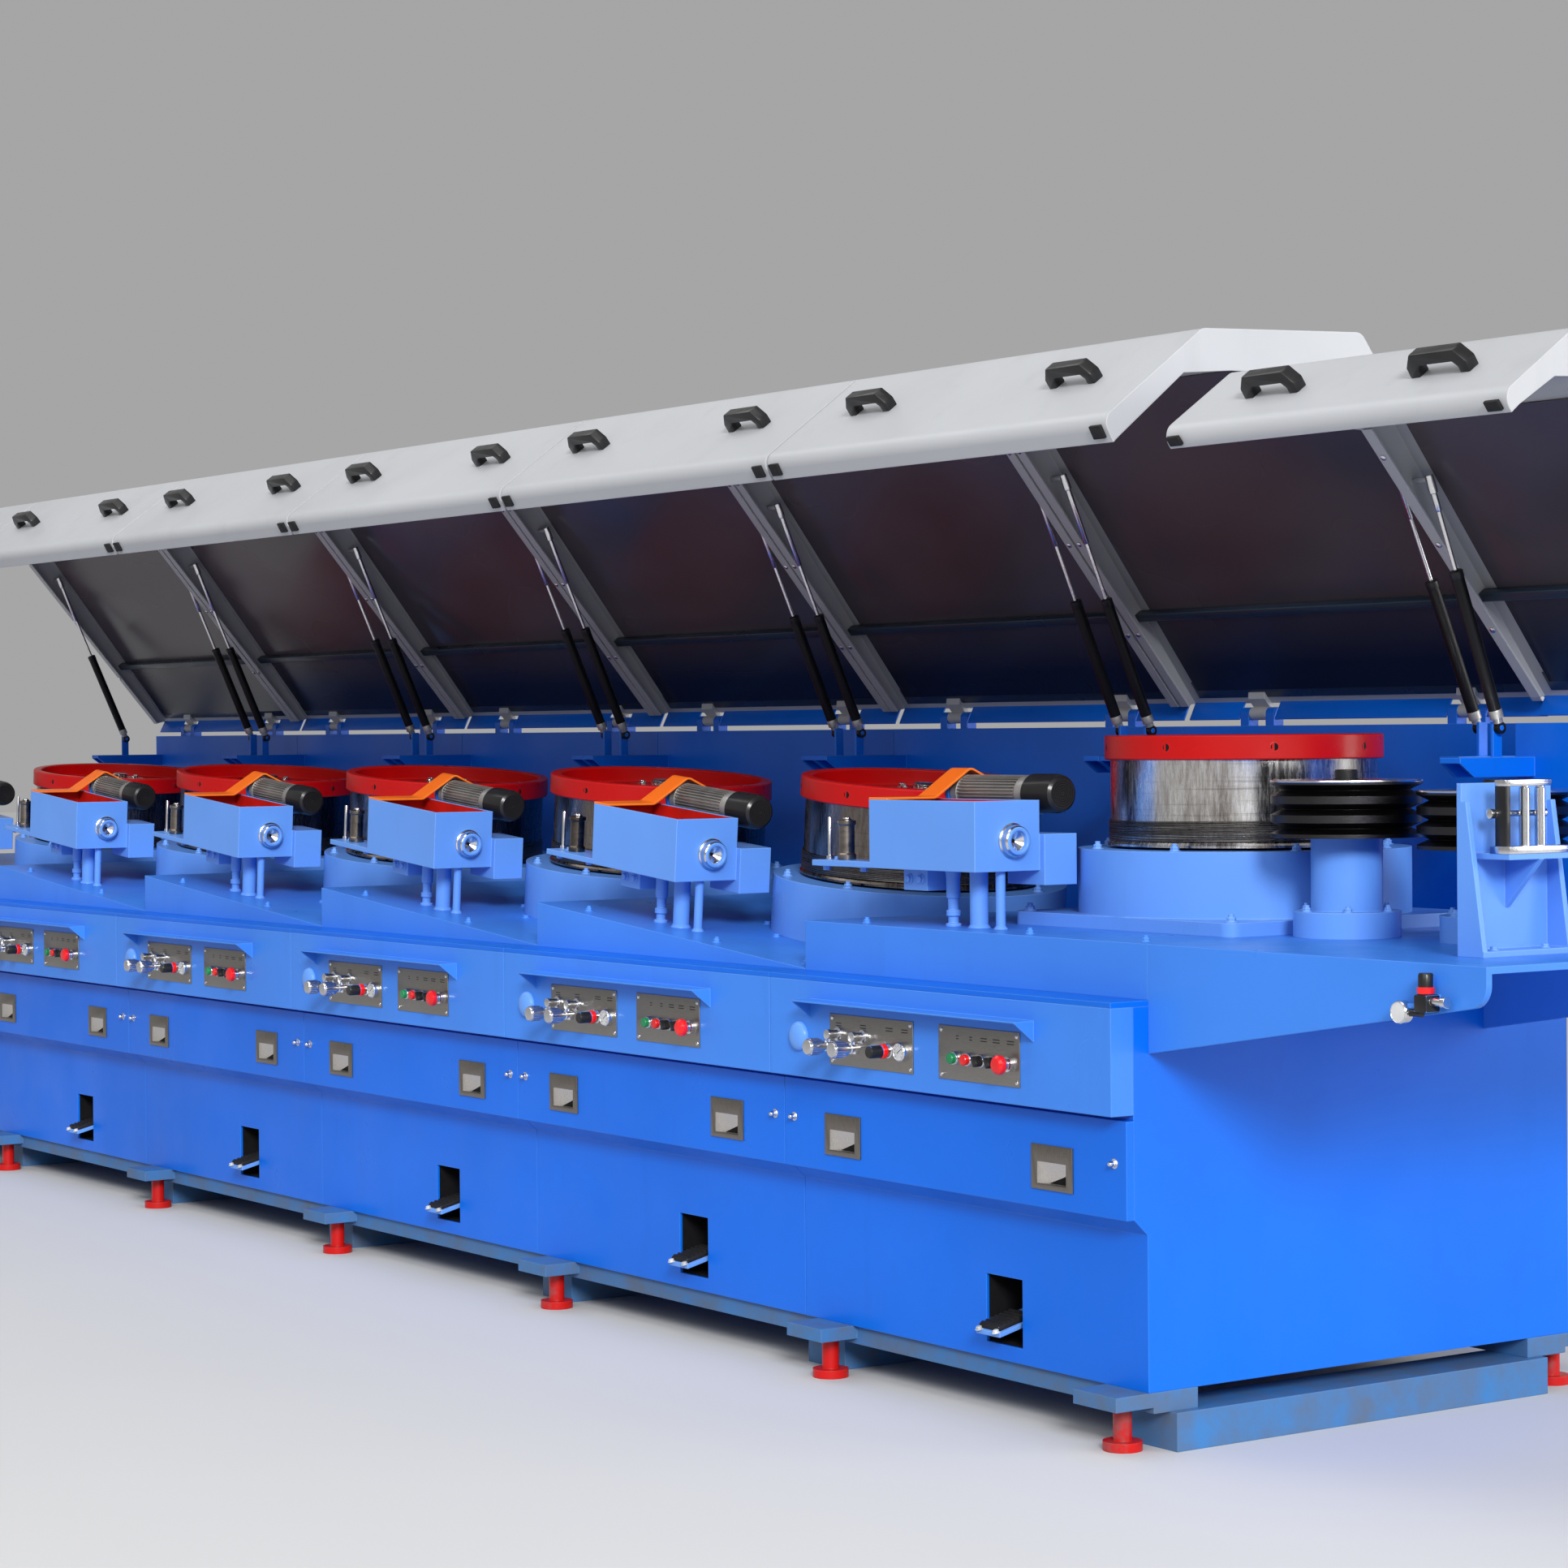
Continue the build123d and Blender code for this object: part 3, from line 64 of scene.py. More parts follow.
class Finish:
    """A material made from nodes."""

    def __init__(self, name, colour, rough, metal=0.0, coat=0.0):
        self.material = bpy.data.materials.new(name)
        self.material.use_nodes = True
        self.tree = self.material.node_tree
        self.shader = self.tree.nodes["Principled BSDF"]
        self.shader.inputs["Base Color"].default_value = (*colour, 1)
        self.shader.inputs["Roughness"].default_value = rough
        self.shader.inputs["Metallic"].default_value = metal
        self.shader.inputs["Coat Weight"].default_value = coat
        self.shader.inputs["Coat Roughness"].default_value = 0.12
        self.shader.inputs["Specular IOR Level"].default_value = 0.5 if metal else 0.24
        self.material.diffuse_color = (*colour, 1)
        self.points = self.node("ShaderNodeTexCoord").outputs["Object"]
        self.normal = None

    def node(self, kind, **values):
        made = self.tree.nodes.new(kind)
        for key, value in values.items():
            if key in made.inputs:
                made.inputs[key].default_value = value
            else:
                setattr(made, key, value)
        return made

    def link(self, source, target):
        self.tree.links.new(source, target)

    def stretched(self, x, y, z):
        """Object points with each axis scaled."""
        scale = self.node("ShaderNodeMapping", Scale=(x, y, z))
        self.link(self.points, scale.inputs["Vector"])
        return scale.outputs["Vector"]

    def noise(self, scale, detail=3.0, points=None, rough=0.5):
        made = self.node("ShaderNodeTexNoise", Scale=scale, Detail=detail, Roughness=rough)
        self.link(points or self.points, made.inputs["Vector"])
        return made.outputs["Fac"]

    def spread(self, value, low, high, to_low=0.0, to_high=1.0):
        made = self.node("ShaderNodeMapRange")
        for key, number in zip(("From Min", "From Max", "To Min", "To Max"), (low, high, to_low, to_high)):
            made.inputs[key].default_value = number
        self.link(value, made.inputs["Value"])
        return made.outputs["Result"]

    def math(self, operation, first, second=None):
        made = self.node("ShaderNodeMath", operation=operation)
        for socket, value in zip(made.inputs, (first, second)):
            if value is None:
                continue
            if isinstance(value, (int, float)):
                socket.default_value = value
            else:
                self.link(value, socket)
        return made.outputs["Value"]

    def mix(self, share, first, second):
        made = self.node("ShaderNodeMix", data_type="RGBA")
        sockets = [s for s in made.inputs if s.type == "RGBA"]
        for socket, value in zip(sockets, (first, second)):
            if isinstance(value, tuple):
                socket.default_value = (*value, 1)
            else:
                self.link(value, socket)
        self.link(share, made.inputs["Factor"])
        return next(s for s in made.outputs if s.type == "RGBA")

    def tint(self, output):
        self.link(output, self.shader.inputs["Base Color"])

    def gloss(self, value, low, high):
        self.link(self.spread(value, 0.3, 0.7, low, high), self.shader.inputs["Roughness"])

    def relief(self, height, strength, distance):
        made = self.node("ShaderNodeBump", Strength=strength, Distance=distance)
        self.link(height, made.inputs["Height"])
        if self.normal:
            self.link(self.normal, made.inputs["Normal"])
        self.normal = made.outputs["Normal"]
        self.link(self.normal, self.shader.inputs["Normal"])

    def edges(self, radius):
        """Share of edge at a point, and rounded normals there."""
        rounded = self.node("ShaderNodeBevel", samples=4, Radius=radius)
        flat = self.node("ShaderNodeNewGeometry")
        dot = self.node("ShaderNodeVectorMath", operation="DOT_PRODUCT")
        self.link(rounded.outputs["Normal"], dot.inputs[0])
        self.link(flat.outputs["Normal"], dot.inputs[1])
        self.normal = rounded.outputs["Normal"]
        self.link(self.normal, self.shader.inputs["Normal"])
        return self.spread(dot.outputs["Value"], 0.995, 0.90)


def shade(colour, factor):
    return tuple(min(1.0, c * factor) for c in colour)


def paint(name, colour, rough=0.34, coat=0.06, edge=None, dirt=0.0, drift=0.10):
    """Sprayed gloss paint: slow colour drift, orange peel, painted highlights along the edges and some dust."""
    made = Finish(name, colour, rough, coat=coat)
    edge_highlight = made.edges(0.0035)
    drifted = made.mix(made.spread(made.noise(1.1, 4.0), 0.3, 0.7), shade(colour, 1 - drift),
                       shade(colour, 1 + drift))
    streaks = made.noise(9.0, 5.0, made.stretched(1.0, 1.0, 0.16), 0.65)
    faded = made.mix(made.spread(streaks, 0.56, 0.80, 0.0, 0.20), drifted, shade(colour, 0.62))
    if dirt:
        grime = made.spread(made.noise(7.0, 8.0, None, 0.7), 0.62 - dirt * 0.3, 0.78)
        faded = made.mix(grime, faded, (0.10, 0.105, 0.11))
    # Edges take the edge colour, a lighter copy of the paint: a painted highlight.
    made.tint(made.mix(made.math("MULTIPLY", edge_highlight, 0.55), faded, edge or shade(colour, 1.9)))
    made.gloss(made.noise(5.0, 6.0), rough - 0.07, rough + 0.12)
    made.relief(made.noise(420.0, 2.0), 0.10, 0.0004)
    return made


def steel(name, colour, rough, grain=(1.0, 1.0, 60.0), depth=0.25):
    """Ground or brushed metal with grain along two axes."""
    made = Finish(name, colour, rough, metal=1.0)
    made.edges(0.0012)
    lines = made.noise(30.0, 6.0, made.stretched(*grain), 0.7)
    made.tint(made.mix(made.spread(lines, 0.3, 0.7), shade(colour, 0.72), shade(colour, 1.12)))
    made.gloss(lines, rough * 0.75, rough * 1.5)
    made.relief(lines, depth, 0.0003)
    return made


def drum_finish(name, bright, dark):
    """Drawn-over drum steel: painted reflection streaks along the axis that change round the drum, and wire
    marks.
    """
    made = Finish(name, bright, 0.24, metal=1.0)
    split = made.node("ShaderNodeSeparateXYZ")
    made.link(made.points, split.inputs["Vector"])
    angle = made.math("ARCTAN2", split.outputs["Y"], split.outputs["X"])
    wrap = made.node("ShaderNodeCombineXYZ")
    made.link(made.math("COSINE", angle), wrap.inputs["X"])
    made.link(made.math("SINE", angle), wrap.inputs["Y"])
    made.link(made.math("MULTIPLY", split.outputs["Z"], 0.5), wrap.inputs["Z"])
    broad = made.noise(5.0, 3.0, wrap.outputs["Vector"])
    fine = made.noise(46.0, 5.0, wrap.outputs["Vector"], 0.65)
    tone = made.math("ADD", made.math("MULTIPLY", broad, 0.65), made.math("MULTIPLY", fine, 0.35))
    rings = made.noise(160.0, 2.0, made.stretched(0.02, 0.02, 1.0))
    # Light and dark streaks round the drum are painted reflections.
    painted_reflections = made.mix(made.spread(tone, 0.36, 0.62), dark, bright)
    made.tint(made.mix(made.spread(rings, 0.58, 0.72, 0.0, 0.45), painted_reflections, shade(dark, 0.7)))
    made.gloss(fine, 0.16, 0.36)
    made.relief(rings, 0.12, 0.0005)
    return made


def plain(name, colour, rough, metal=0.0, grain=220.0, depth=0.12, coat=0.0):
    """Moulded or cast surface with a fine grain and slight tone changes."""
    made = Finish(name, colour, rough, metal, coat)
    made.edges(0.0015)
    made.tint(made.mix(made.spread(made.noise(14.0, 5.0), 0.3, 0.7), shade(colour, 0.8), shade(colour, 1.2)))
    made.gloss(made.noise(40.0, 4.0), rough * 0.8, min(1.0, rough * 1.25))
    made.relief(made.noise(grain, 3.0), depth, 0.0005)
    return made


BLUE = (0.0, 0.125, 0.66)
PALE = (0.110, 0.285, 0.74)
# Each paint's edge colour is a lighter copy of it, painted along its edges as a highlight.
finishes = {
    "cabinet_blue": paint("cabinet_blue", BLUE, edge=(0.07, 0.28, 0.85)),
    "deck_blue": paint("deck_blue", (0.042, 0.205, 0.72), edge=(0.12, 0.34, 0.90)),
    "pale_blue": paint("pale_blue", PALE, edge=(0.28, 0.50, 1.0)),
    "frame_blue": paint("frame_blue", (0.035, 0.16, 0.40), rough=0.55, coat=0.05, dirt=0.9,
                        edge=(0.10, 0.24, 0.45)),
    "jack_red": paint("jack_red", (0.48, 0.006, 0.005), edge=(0.60, 0.05, 0.04), dirt=0.2),
    "block_red": paint("block_red", (0.44, 0.002, 0.002), rough=0.30, edge=(0.62, 0.03, 0.025), drift=0.18),
    "lid_grey": paint("lid_grey", (0.40, 0.41, 0.43), rough=0.42, coat=0.05, edge=(0.66, 0.67, 0.68),
                      drift=0.05),
    "guard_orange": paint("guard_orange", (0.86, 0.155, 0.006), edge=(0.95, 0.38, 0.10)),
    "bright_metal": steel("bright_metal", (0.72, 0.72, 0.74), 0.16, (40.0, 40.0, 2.0), 0.06),
    "plate_steel": steel("plate_steel", (0.30, 0.285, 0.262), 0.34, (2.0, 60.0, 60.0), 0.12),
    "latch_steel": steel("latch_steel", (0.25, 0.225, 0.20), 0.30, (60.0, 60.0, 2.5), 0.10),
    # latch_scoop is a lit copy of latch_steel: the painted highlight of the latch cups.
    "latch_scoop": steel("latch_scoop", (0.66, 0.62, 0.58), 0.22, (60.0, 60.0, 2.5), 0.06),
    "motor_silver": plain("motor_silver", (0.40, 0.39, 0.375), 0.42, 0.75, 180.0, 0.2),
    "strut_black": plain("strut_black", (0.004, 0.004, 0.005), 0.42, 0.0, 300.0, 0.04, 0.05),
    "sheave_black": steel("sheave_black", (0.055, 0.053, 0.055), 0.30, (2.0, 2.0, 80.0), 0.15),
    "rubber": plain("rubber", (0.010, 0.010, 0.011), 0.62, 0.0, 260.0, 0.3),
    "moulding": plain("moulding", (0.012, 0.012, 0.013), 0.34, 0.0, 300.0, 0.1, 0.2),
    # slot_dark is near black: painted shade in holes, pockets, bores, grooves, slots and the latch cup, and the
    # gauge's own black marks and needle.
    "slot_dark": plain("slot_dark", (0.002, 0.002, 0.003), 0.85, 0.0, 90.0, 0.2),
    "wire": steel("wire", (0.13, 0.12, 0.11), 0.32, (3.0, 3.0, 3.0), 0.1),
    "button_green": plain("button_green", (0.008, 0.20, 0.070), 0.30, 0.0, 260.0, 0.05, 0.3),
    "button_red": plain("button_red", (0.72, 0.010, 0.012), 0.26, 0.0, 260.0, 0.05, 0.4),
    "gauge_white": plain("gauge_white", (0.52, 0.53, 0.54), 0.30, 0.0, 260.0, 0.02, 0.4),
    # Dark sheet for the covers of the lid's inner rib: painted shade, with a painted highlight on its edges.
    "rib_painted_shade": paint("rib_painted_shade", (0.022, 0.034, 0.055), rough=0.30, edge=(0.05, 0.14, 0.20)),
    "soap_red": plain("soap_red", (0.50, 0.010, 0.006), 0.40, 0.0, 120.0, 0.3, 0.2),
    # drum_bright is a lit copy of the drum steel, for the drum nearest the exit end; the drums further in take
    # drum_dark, a shaded copy: painted light and shade.
    "drum_bright": drum_finish("drum_bright", (0.86, 0.85, 0.83), (0.20, 0.17, 0.15)),
    "drum_dark": drum_finish("drum_dark", (0.27, 0.235, 0.21), (0.070, 0.055, 0.046)),
}


def smoked():
    """Tinted window sheet: hazy towards its front, with a painted dark blue reflection near the hinge, and
    faint smears.
    """
    made = Finish("smoked_window", (0.05, 0.044, 0.052), 0.22)
    smears = made.noise(1.4, 2.0, made.stretched(1.0, 1.6, 1.6), 0.45)
    hazy = made.mix(made.spread(smears, 0.3, 0.7), (0.056, 0.049, 0.060), (0.094, 0.074, 0.084))
    split = made.node("ShaderNodeSeparateXYZ")
    made.link(made.points, split.inputs["Vector"])
    # Low on the sheet, near the hinge, the colour turns dark blue: a painted reflection of the blue machine
    # below.
    made.tint(made.mix(made.spread(split.outputs["Z"], 1.66, 1.86), (0.010, 0.014, 0.034), hazy))
    made.gloss(smears, 0.16, 0.34)
    return made


finishes["smoked_window"] = smoked()


# Mesh making

class Piece:
    """A mesh gathered from worked forms, each with its own finish."""

    def __init__(self, name, place=None):
        self.name = name
        self.place = place or Matrix.Identity(4)
        self.mesh = bmesh.new()
        self.used = []

    def index(self, finish):
        if finish not in self.used:
            self.used.append(finish)
        return self.used.index(finish)

    def faces(self, points, rings, finish, at):
        spot = self.index(finish)
        made = [self.mesh.verts.new(at @ Vector(p)) for p in points]
        for ring in rings:
            face = self.mesh.faces.new([made[i] for i in ring])
            face.material_index = spot
            face.smooth = True

    def merge(self, other, finish, at):
        """Take in a small mesh."""
        other.verts.index_update()
        points = [v.co.copy() for v in other.verts]
        rings = [[v.index for v in f.verts] for f in other.faces]
        other.free()
        self.faces(points, rings, finish, at)

    def block(self, at, size, finish, edge=0.002, steps=2):
        """Block with rounded edges, centred on a frame."""
        made = bmesh.new()
        bmesh.ops.create_cube(made, size=1.0, matrix=Matrix.Diagonal((*size, 1.0)))
        if edge:
            bmesh.ops.bevel(made, geom=made.edges[:], offset=min(edge, min(size) * 0.45), segments=steps,
                            profile=0.5, affect="EDGES")
        self.merge(made, finish, at)

    def slab(self, at, outline, depth, finish, edge=0.001):
        """Outline in a frame's XY, drawn out along its Z, with rounded edges."""
        made = bmesh.new()
        ring = [made.verts.new((x, y, 0)) for x, y in outline]
        foot = made.faces.new(ring)
        top = bmesh.ops.extrude_face_region(made, geom=[foot])
        bmesh.ops.translate(made, vec=(0, 0, depth),
                            verts=[v for v in top["geom"] if isinstance(v, bmesh.types.BMVert)])
        bmesh.ops.recalc_face_normals(made, faces=made.faces[:])
        if edge:
            bmesh.ops.bevel(made, geom=made.edges[:], offset=edge, segments=2, profile=0.5, affect="EDGES",
                            clamp_overlap=True)
        self.merge(made, finish, at)

    def turned(self, at, profile, finish, sides=32):
        """Radius and height profile, turned about a frame's Z."""
        points, rings, rows = [], [], []
        for radius, height in profile:
            if radius < 1e-6:
                rows.append([len(points)] * sides)
                points.append((0, 0, height))
                continue
            rows.append(list(range(len(points), len(points) + sides)))
            points += [(radius * cos(2 * pi * i / sides), radius * sin(2 * pi * i / sides),
                        height) for i in range(sides)]
        for low, high in zip(rows, rows[1:]):
            for i in range(sides):
                j = (i + 1) % sides
                ring = list(dict.fromkeys((low[i], low[j], high[j], high[i])))
                if len(ring) > 2:
                    rings.append(ring)
        self.faces(points, rings, finish, at)

    def tube(self, at, path, radius, finish, sides=10, closed=False):
        """Round bar along points."""
        path = [Vector(p) for p in path]
        points, rings = [], []
        count = len(path)
        side = None
        for i, p in enumerate(path):
            ahead = path[(i + 1) % count] if closed or i + 1 < count else p
            behind = path[i - 1] if closed or i else p
            along = (ahead - behind).normalized()
            if side is None:
                side = along.orthogonal().normalized()
            side = (side - along * side.dot(along)).normalized()
            up = along.cross(side)
            for k in range(sides):
                a = 2 * pi * k / sides
                points.append(p + (side * cos(a) + up * sin(a)) * radius)
        for i in range(count if closed else count - 1):
            for k in range(sides):
                a, b = i * sides, ((i + 1) % count) * sides
                rings.append([a + k, a + (k + 1) % sides, b + (k + 1) % sides, b + k])
        if not closed:
            rings += [list(range(sides))[::-1], list(range((count - 1) * sides, count * sides))]
        self.faces(points, rings, finish, at)

    def bolt(self, at, radius, height, finish, washer=True):
        """Hexagon head with a chamfer, on a washer."""
        if washer:
            self.turned(at, [(radius * 1.35, 0), (radius * 1.35, height * 0.18), (0, height * 0.18)], finish,
                        20)
        self.turned(at, [(radius, 0), (radius, height * 0.85), (radius * 0.82, height), (0, height)], finish, 6)

    def stud(self, at, radius, height, finish):
        """Nut on a projecting threaded end."""
        self.bolt(at, radius, height * 0.62, finish)
        self.turned(at, [(radius * 0.60, 0), (radius * 0.60, height - 0.001), (radius * 0.5, height),
                         (0, height)], finish, 14)

    def done(self, body, slot):
        """Make the object and set it on its body."""
        mesh = bpy.data.meshes.new(self.name)
        bmesh.ops.recalc_face_normals(self.mesh, faces=self.mesh.faces[:])
        self.mesh.to_mesh(mesh)
        self.mesh.free()
        for finish in self.used:
            mesh.materials.append(finishes[finish].material)
        mesh.set_sharp_from_angle(angle=radians(32))
        return stand(self.name, mesh, self.place, body)


def stand(name, mesh, place, body):
    made = bpy.data.objects.new(name, mesh)
    bpy.context.scene.collection.objects.link(made)
    made.matrix_world = place
    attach(made, body)
    return made


def columns(x, y, z, origin=(0, 0, 0)):
    """Frame from its axes and origin."""
    made = Matrix.Identity(4)
    for i, column in enumerate((x, y, z, origin)):
        for row in range(3):
            made[row][i] = column[row]
    return made


def shift(x, y, z):
    return Matrix.Translation((x, y, z))


# Turned frames, named by where their Z points: forward, up a forward face, and along the machine
OUT = columns((1, 0, 0), (0, 0, 1), (0, -1, 0))
RISE = columns((1, 0, 0), (0, 0, -1), (0, 1, 0))
ALONG = columns((0, 1, 0), (0, 0, 1), (1, 0, 0))


def around(angle, radius, z):
    """Place on a circle about Z."""
    return shift(radius * cos(angle), radius * sin(angle), z)


def spoke(angle, radius, z):
    """Frame on a circle about Z, with X outwards."""
    return columns((cos(angle), sin(angle), 0), (-sin(angle), cos(angle), 0), (0, 0, 1),
                   (radius * cos(angle), radius * sin(angle), z))


def bay_end(bay):
    return EXIT_X - (bay - 1) * PITCH


def front(bay, x, out, z):
    """Frame on a bay's front, facing out: X from the bay's exit end."""
    return shift(bay_end(bay) + x, FRONT_Y - out, z) @ OUT


def deck(bay, x=0.0, y=0.0, z=0.0):
    """Frame on a deck's top: X from the bay's exit end, Y from the front panel."""
    slope = 0.0 if bay == 1 else TILT
    top = columns((cos(slope), 0, -sin(slope)), (0, 1, 0), (sin(slope), 0, cos(slope)),
                  (bay_end(bay), FRONT_Y, DECK_TOP if bay == 1 else DECK_LOW))
    return top @ shift(x, y, z)


def seat(bay):
    """Frame of a block's seat, on its axis."""
    return deck(bay, SEAT_X, SEAT_Y, PLINTH if bay == 1 else 0.0)


# Lid shapes, closed, forward and up from the hinge
LIDS = {
    "bay": dict(back=1.210, opened=47.7, spread=0.738, stroke=0.118, strut=(0.741, 0.053),
                outline=[(0.015, 0.027), (1.001, 0.116), (1.294, -0.230), (1.328, -0.565), (1.274, -0.577)],
                edge=[(1.273, -0.552), (1.258, -0.333), (1.176, -0.227), (0.951, 0.020), (0.041, -0.016)]),
    "exit": dict(back=0.972, opened=49.5, spread=0.464, stroke=0.124, strut=(0.620, 0.020),
                 outline=[(0.015, 0.027), (0.808, 0.062), (1.102, -0.229), (1.124, -0.457), (1.084, -0.459)],
                 edge=[(1.083, -0.434), (1.066, -0.330), (0.985, -0.226), (0.790, -0.024), (0.041, -0.010)]),
}
lids = [(str(bay), bay_end(bay) - 0.005, PITCH - 0.010, LIDS["bay"]) for bay in range(1, BAYS + 1)]
lids.append(("exit", EXIT_X + 0.183 + 0.935, 0.935, LIDS["exit"]))


def lid_frame(x_end, shape):
    """Frame of an open lid: along its length, forward and up."""
    a = radians(shape["opened"])
    return columns((-1, 0, 0), (0, -cos(a), sin(a)), (0, sin(a), cos(a)),
                   (x_end, FRONT_Y + shape["back"], HINGE_Z))


# Finishes of the solids
REPAINTED = {"control_consoles": "deck_blue", "exit_shelf": "deck_blue", "exit_bracket": "pale_blue"}
REPAINTED.update({f"pedal_{bay}": "pale_blue" for bay in range(1, BAYS + 1)})
for part in frame["record"]["subparts"]:
    mesh = nodes[part["node"]].data
    slot = REPAINTED.get(part["node"], part["material_slot"])
    mesh.materials.clear()
    mesh.materials.append(finishes.get(slot, finishes["bright_metal"]).material)

# Drawing blocks: drum with painted reflection streaks, wire turns at its foot, red flange with a dished top
FOOT, HEAD, RIM = 0.151, 0.345, 0.400
TURNS, TURN_STEPS = 10, 64
TURN_RING, TURN_PITCH, TURN_WAVER, WIRE_RADIUS = 0.3030, 0.0046, 0.0006, 0.0021
FLANGE_FACE, POCKET_RING, BOLT_RING = 0.3136, 0.190, 0.062


def block_piece(name, place, dark):
    made = Piece(name, place)
    here = Matrix.Identity(4)
    drum = "drum_dark" if dark else "drum_bright"
    made.turned(here, [(0.060, 0.040), (0.060, FOOT), (0.296, FOOT), (0.3075, FOOT + 0.001),
                       (0.3075, FOOT + 0.006),
                       (0.301, FOOT + 0.014), (0.300, FOOT + 0.03), (0.300, HEAD - 0.004), (0.302, HEAD)], drum,
                       96)
    helix = [(TURN_RING * cos(2 * pi * i / TURN_STEPS), TURN_RING * sin(2 * pi * i / TURN_STEPS),
              FOOT + 0.012 + TURN_PITCH * i / TURN_STEPS + TURN_WAVER * sin(i * 0.37))
             for i in range(TURNS * TURN_STEPS)]
    made.tube(here, helix, WIRE_RADIUS, "wire", 6)
    made.turned(here, [(0.296, HEAD - 0.0005), (0.311, HEAD), (0.314, HEAD + 0.003), (0.314, RIM - 0.003),
                       (0.311, RIM), (0.289, RIM), (0.286, RIM - 0.003), (0.286, HEAD + 0.014),
                       (0.283, HEAD + 0.012), (0.095, HEAD + 0.012), (0.090, HEAD + 0.016),
                       (0.090, HEAD + 0.028),
                       (0.087, HEAD + 0.030), (0.040, HEAD + 0.030), (0.0, HEAD + 0.030)], "block_red", 96)
    for k in range(8):
        a = 2 * pi * (k + 0.35) / 8
        side = columns((-sin(a), cos(a), 0), (0, 0, 1), (cos(a), sin(a), 0),
                       (FLANGE_FACE * cos(a), FLANGE_FACE * sin(a), HEAD + 0.028))
        made.turned(side, [(0.0105, 0.0), (0.0100, 0.0004), (0.0085, 0.0003)], "block_red", 20)
        # Near-black disc in each hole: painted shade.
        made.turned(side, [(0.0088, 0.0003), (0.0, 0.0003)], "slot_dark", 20)
    for k in range(6):
        a = 2 * pi * k / 6
        made.turned(around(a, POCKET_RING, HEAD + 0.0121), [(0.042, 0.0), (0.040, 0.0012), (0.036, 0.0006)],
                    "block_red", 28)
        # Near-black disc in each pocket: painted shade.
        made.turned(around(a, POCKET_RING, HEAD + 0.0126), [(0.037, 0.0), (0.0, 0.0)], "slot_dark", 28)
        made.bolt(around(a + 0.5, BOLT_RING, HEAD + 0.030), 0.009, 0.010, "bright_metal")
    made.turned(shift(0, 0, HEAD + 0.030), [(0.028, 0.0), (0.028, 0.012), (0.022, 0.016), (0.0, 0.016)],
                "bright_metal", 32)
    return made


# The drum nearest the exit end takes the lit copy of the drum steel, the others the shaded copy.
for bay in range(1, BAYS + 1):
    piece = block_piece(f"drum_{bay}", seat(bay), bay > 1)
    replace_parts(piece.done(f"block_{bay}", "block_steel"), f"block_{bay}")

# Studs round the pedestals and on the decks
STUD_RING, DECK_BOLT_RING = 0.345, 0.392
DECK_STUDS = ((-0.06, 0.05), (-0.45, 0.05), (-1.06, 0.05), (-0.06, 1.12), (-0.62, 1.12), (-1.19, 1.12))
studs = Piece("deck_studs")
for bay in range(1, BAYS + 1):
    for k in range(8):
        a = 2 * pi * (k + 0.5) / 8
        studs.stud(seat(bay) @ around(a, STUD_RING, 0.146), 0.010, 0.017, "pale_blue")
    for k in range(10 if bay > 1 else 0):
        a = 2 * pi * (k + 0.2) / 10
        studs.bolt(deck(bay, SEAT_X + DECK_BOLT_RING * cos(a), SEAT_Y + DECK_BOLT_RING * sin(a)),
                   0.009, 0.008, "deck_blue")
    for x, y in DECK_STUDS:
        studs.stud(deck(bay, x, y), 0.009, 0.014, "deck_blue")
for x in (-0.07, -0.76):
    for y in (0.295, 0.985):
        studs.stud(deck(1, x, y, PLINTH), 0.011, 0.018, "pale_blue")
studs.done("machine", "pale_blue")

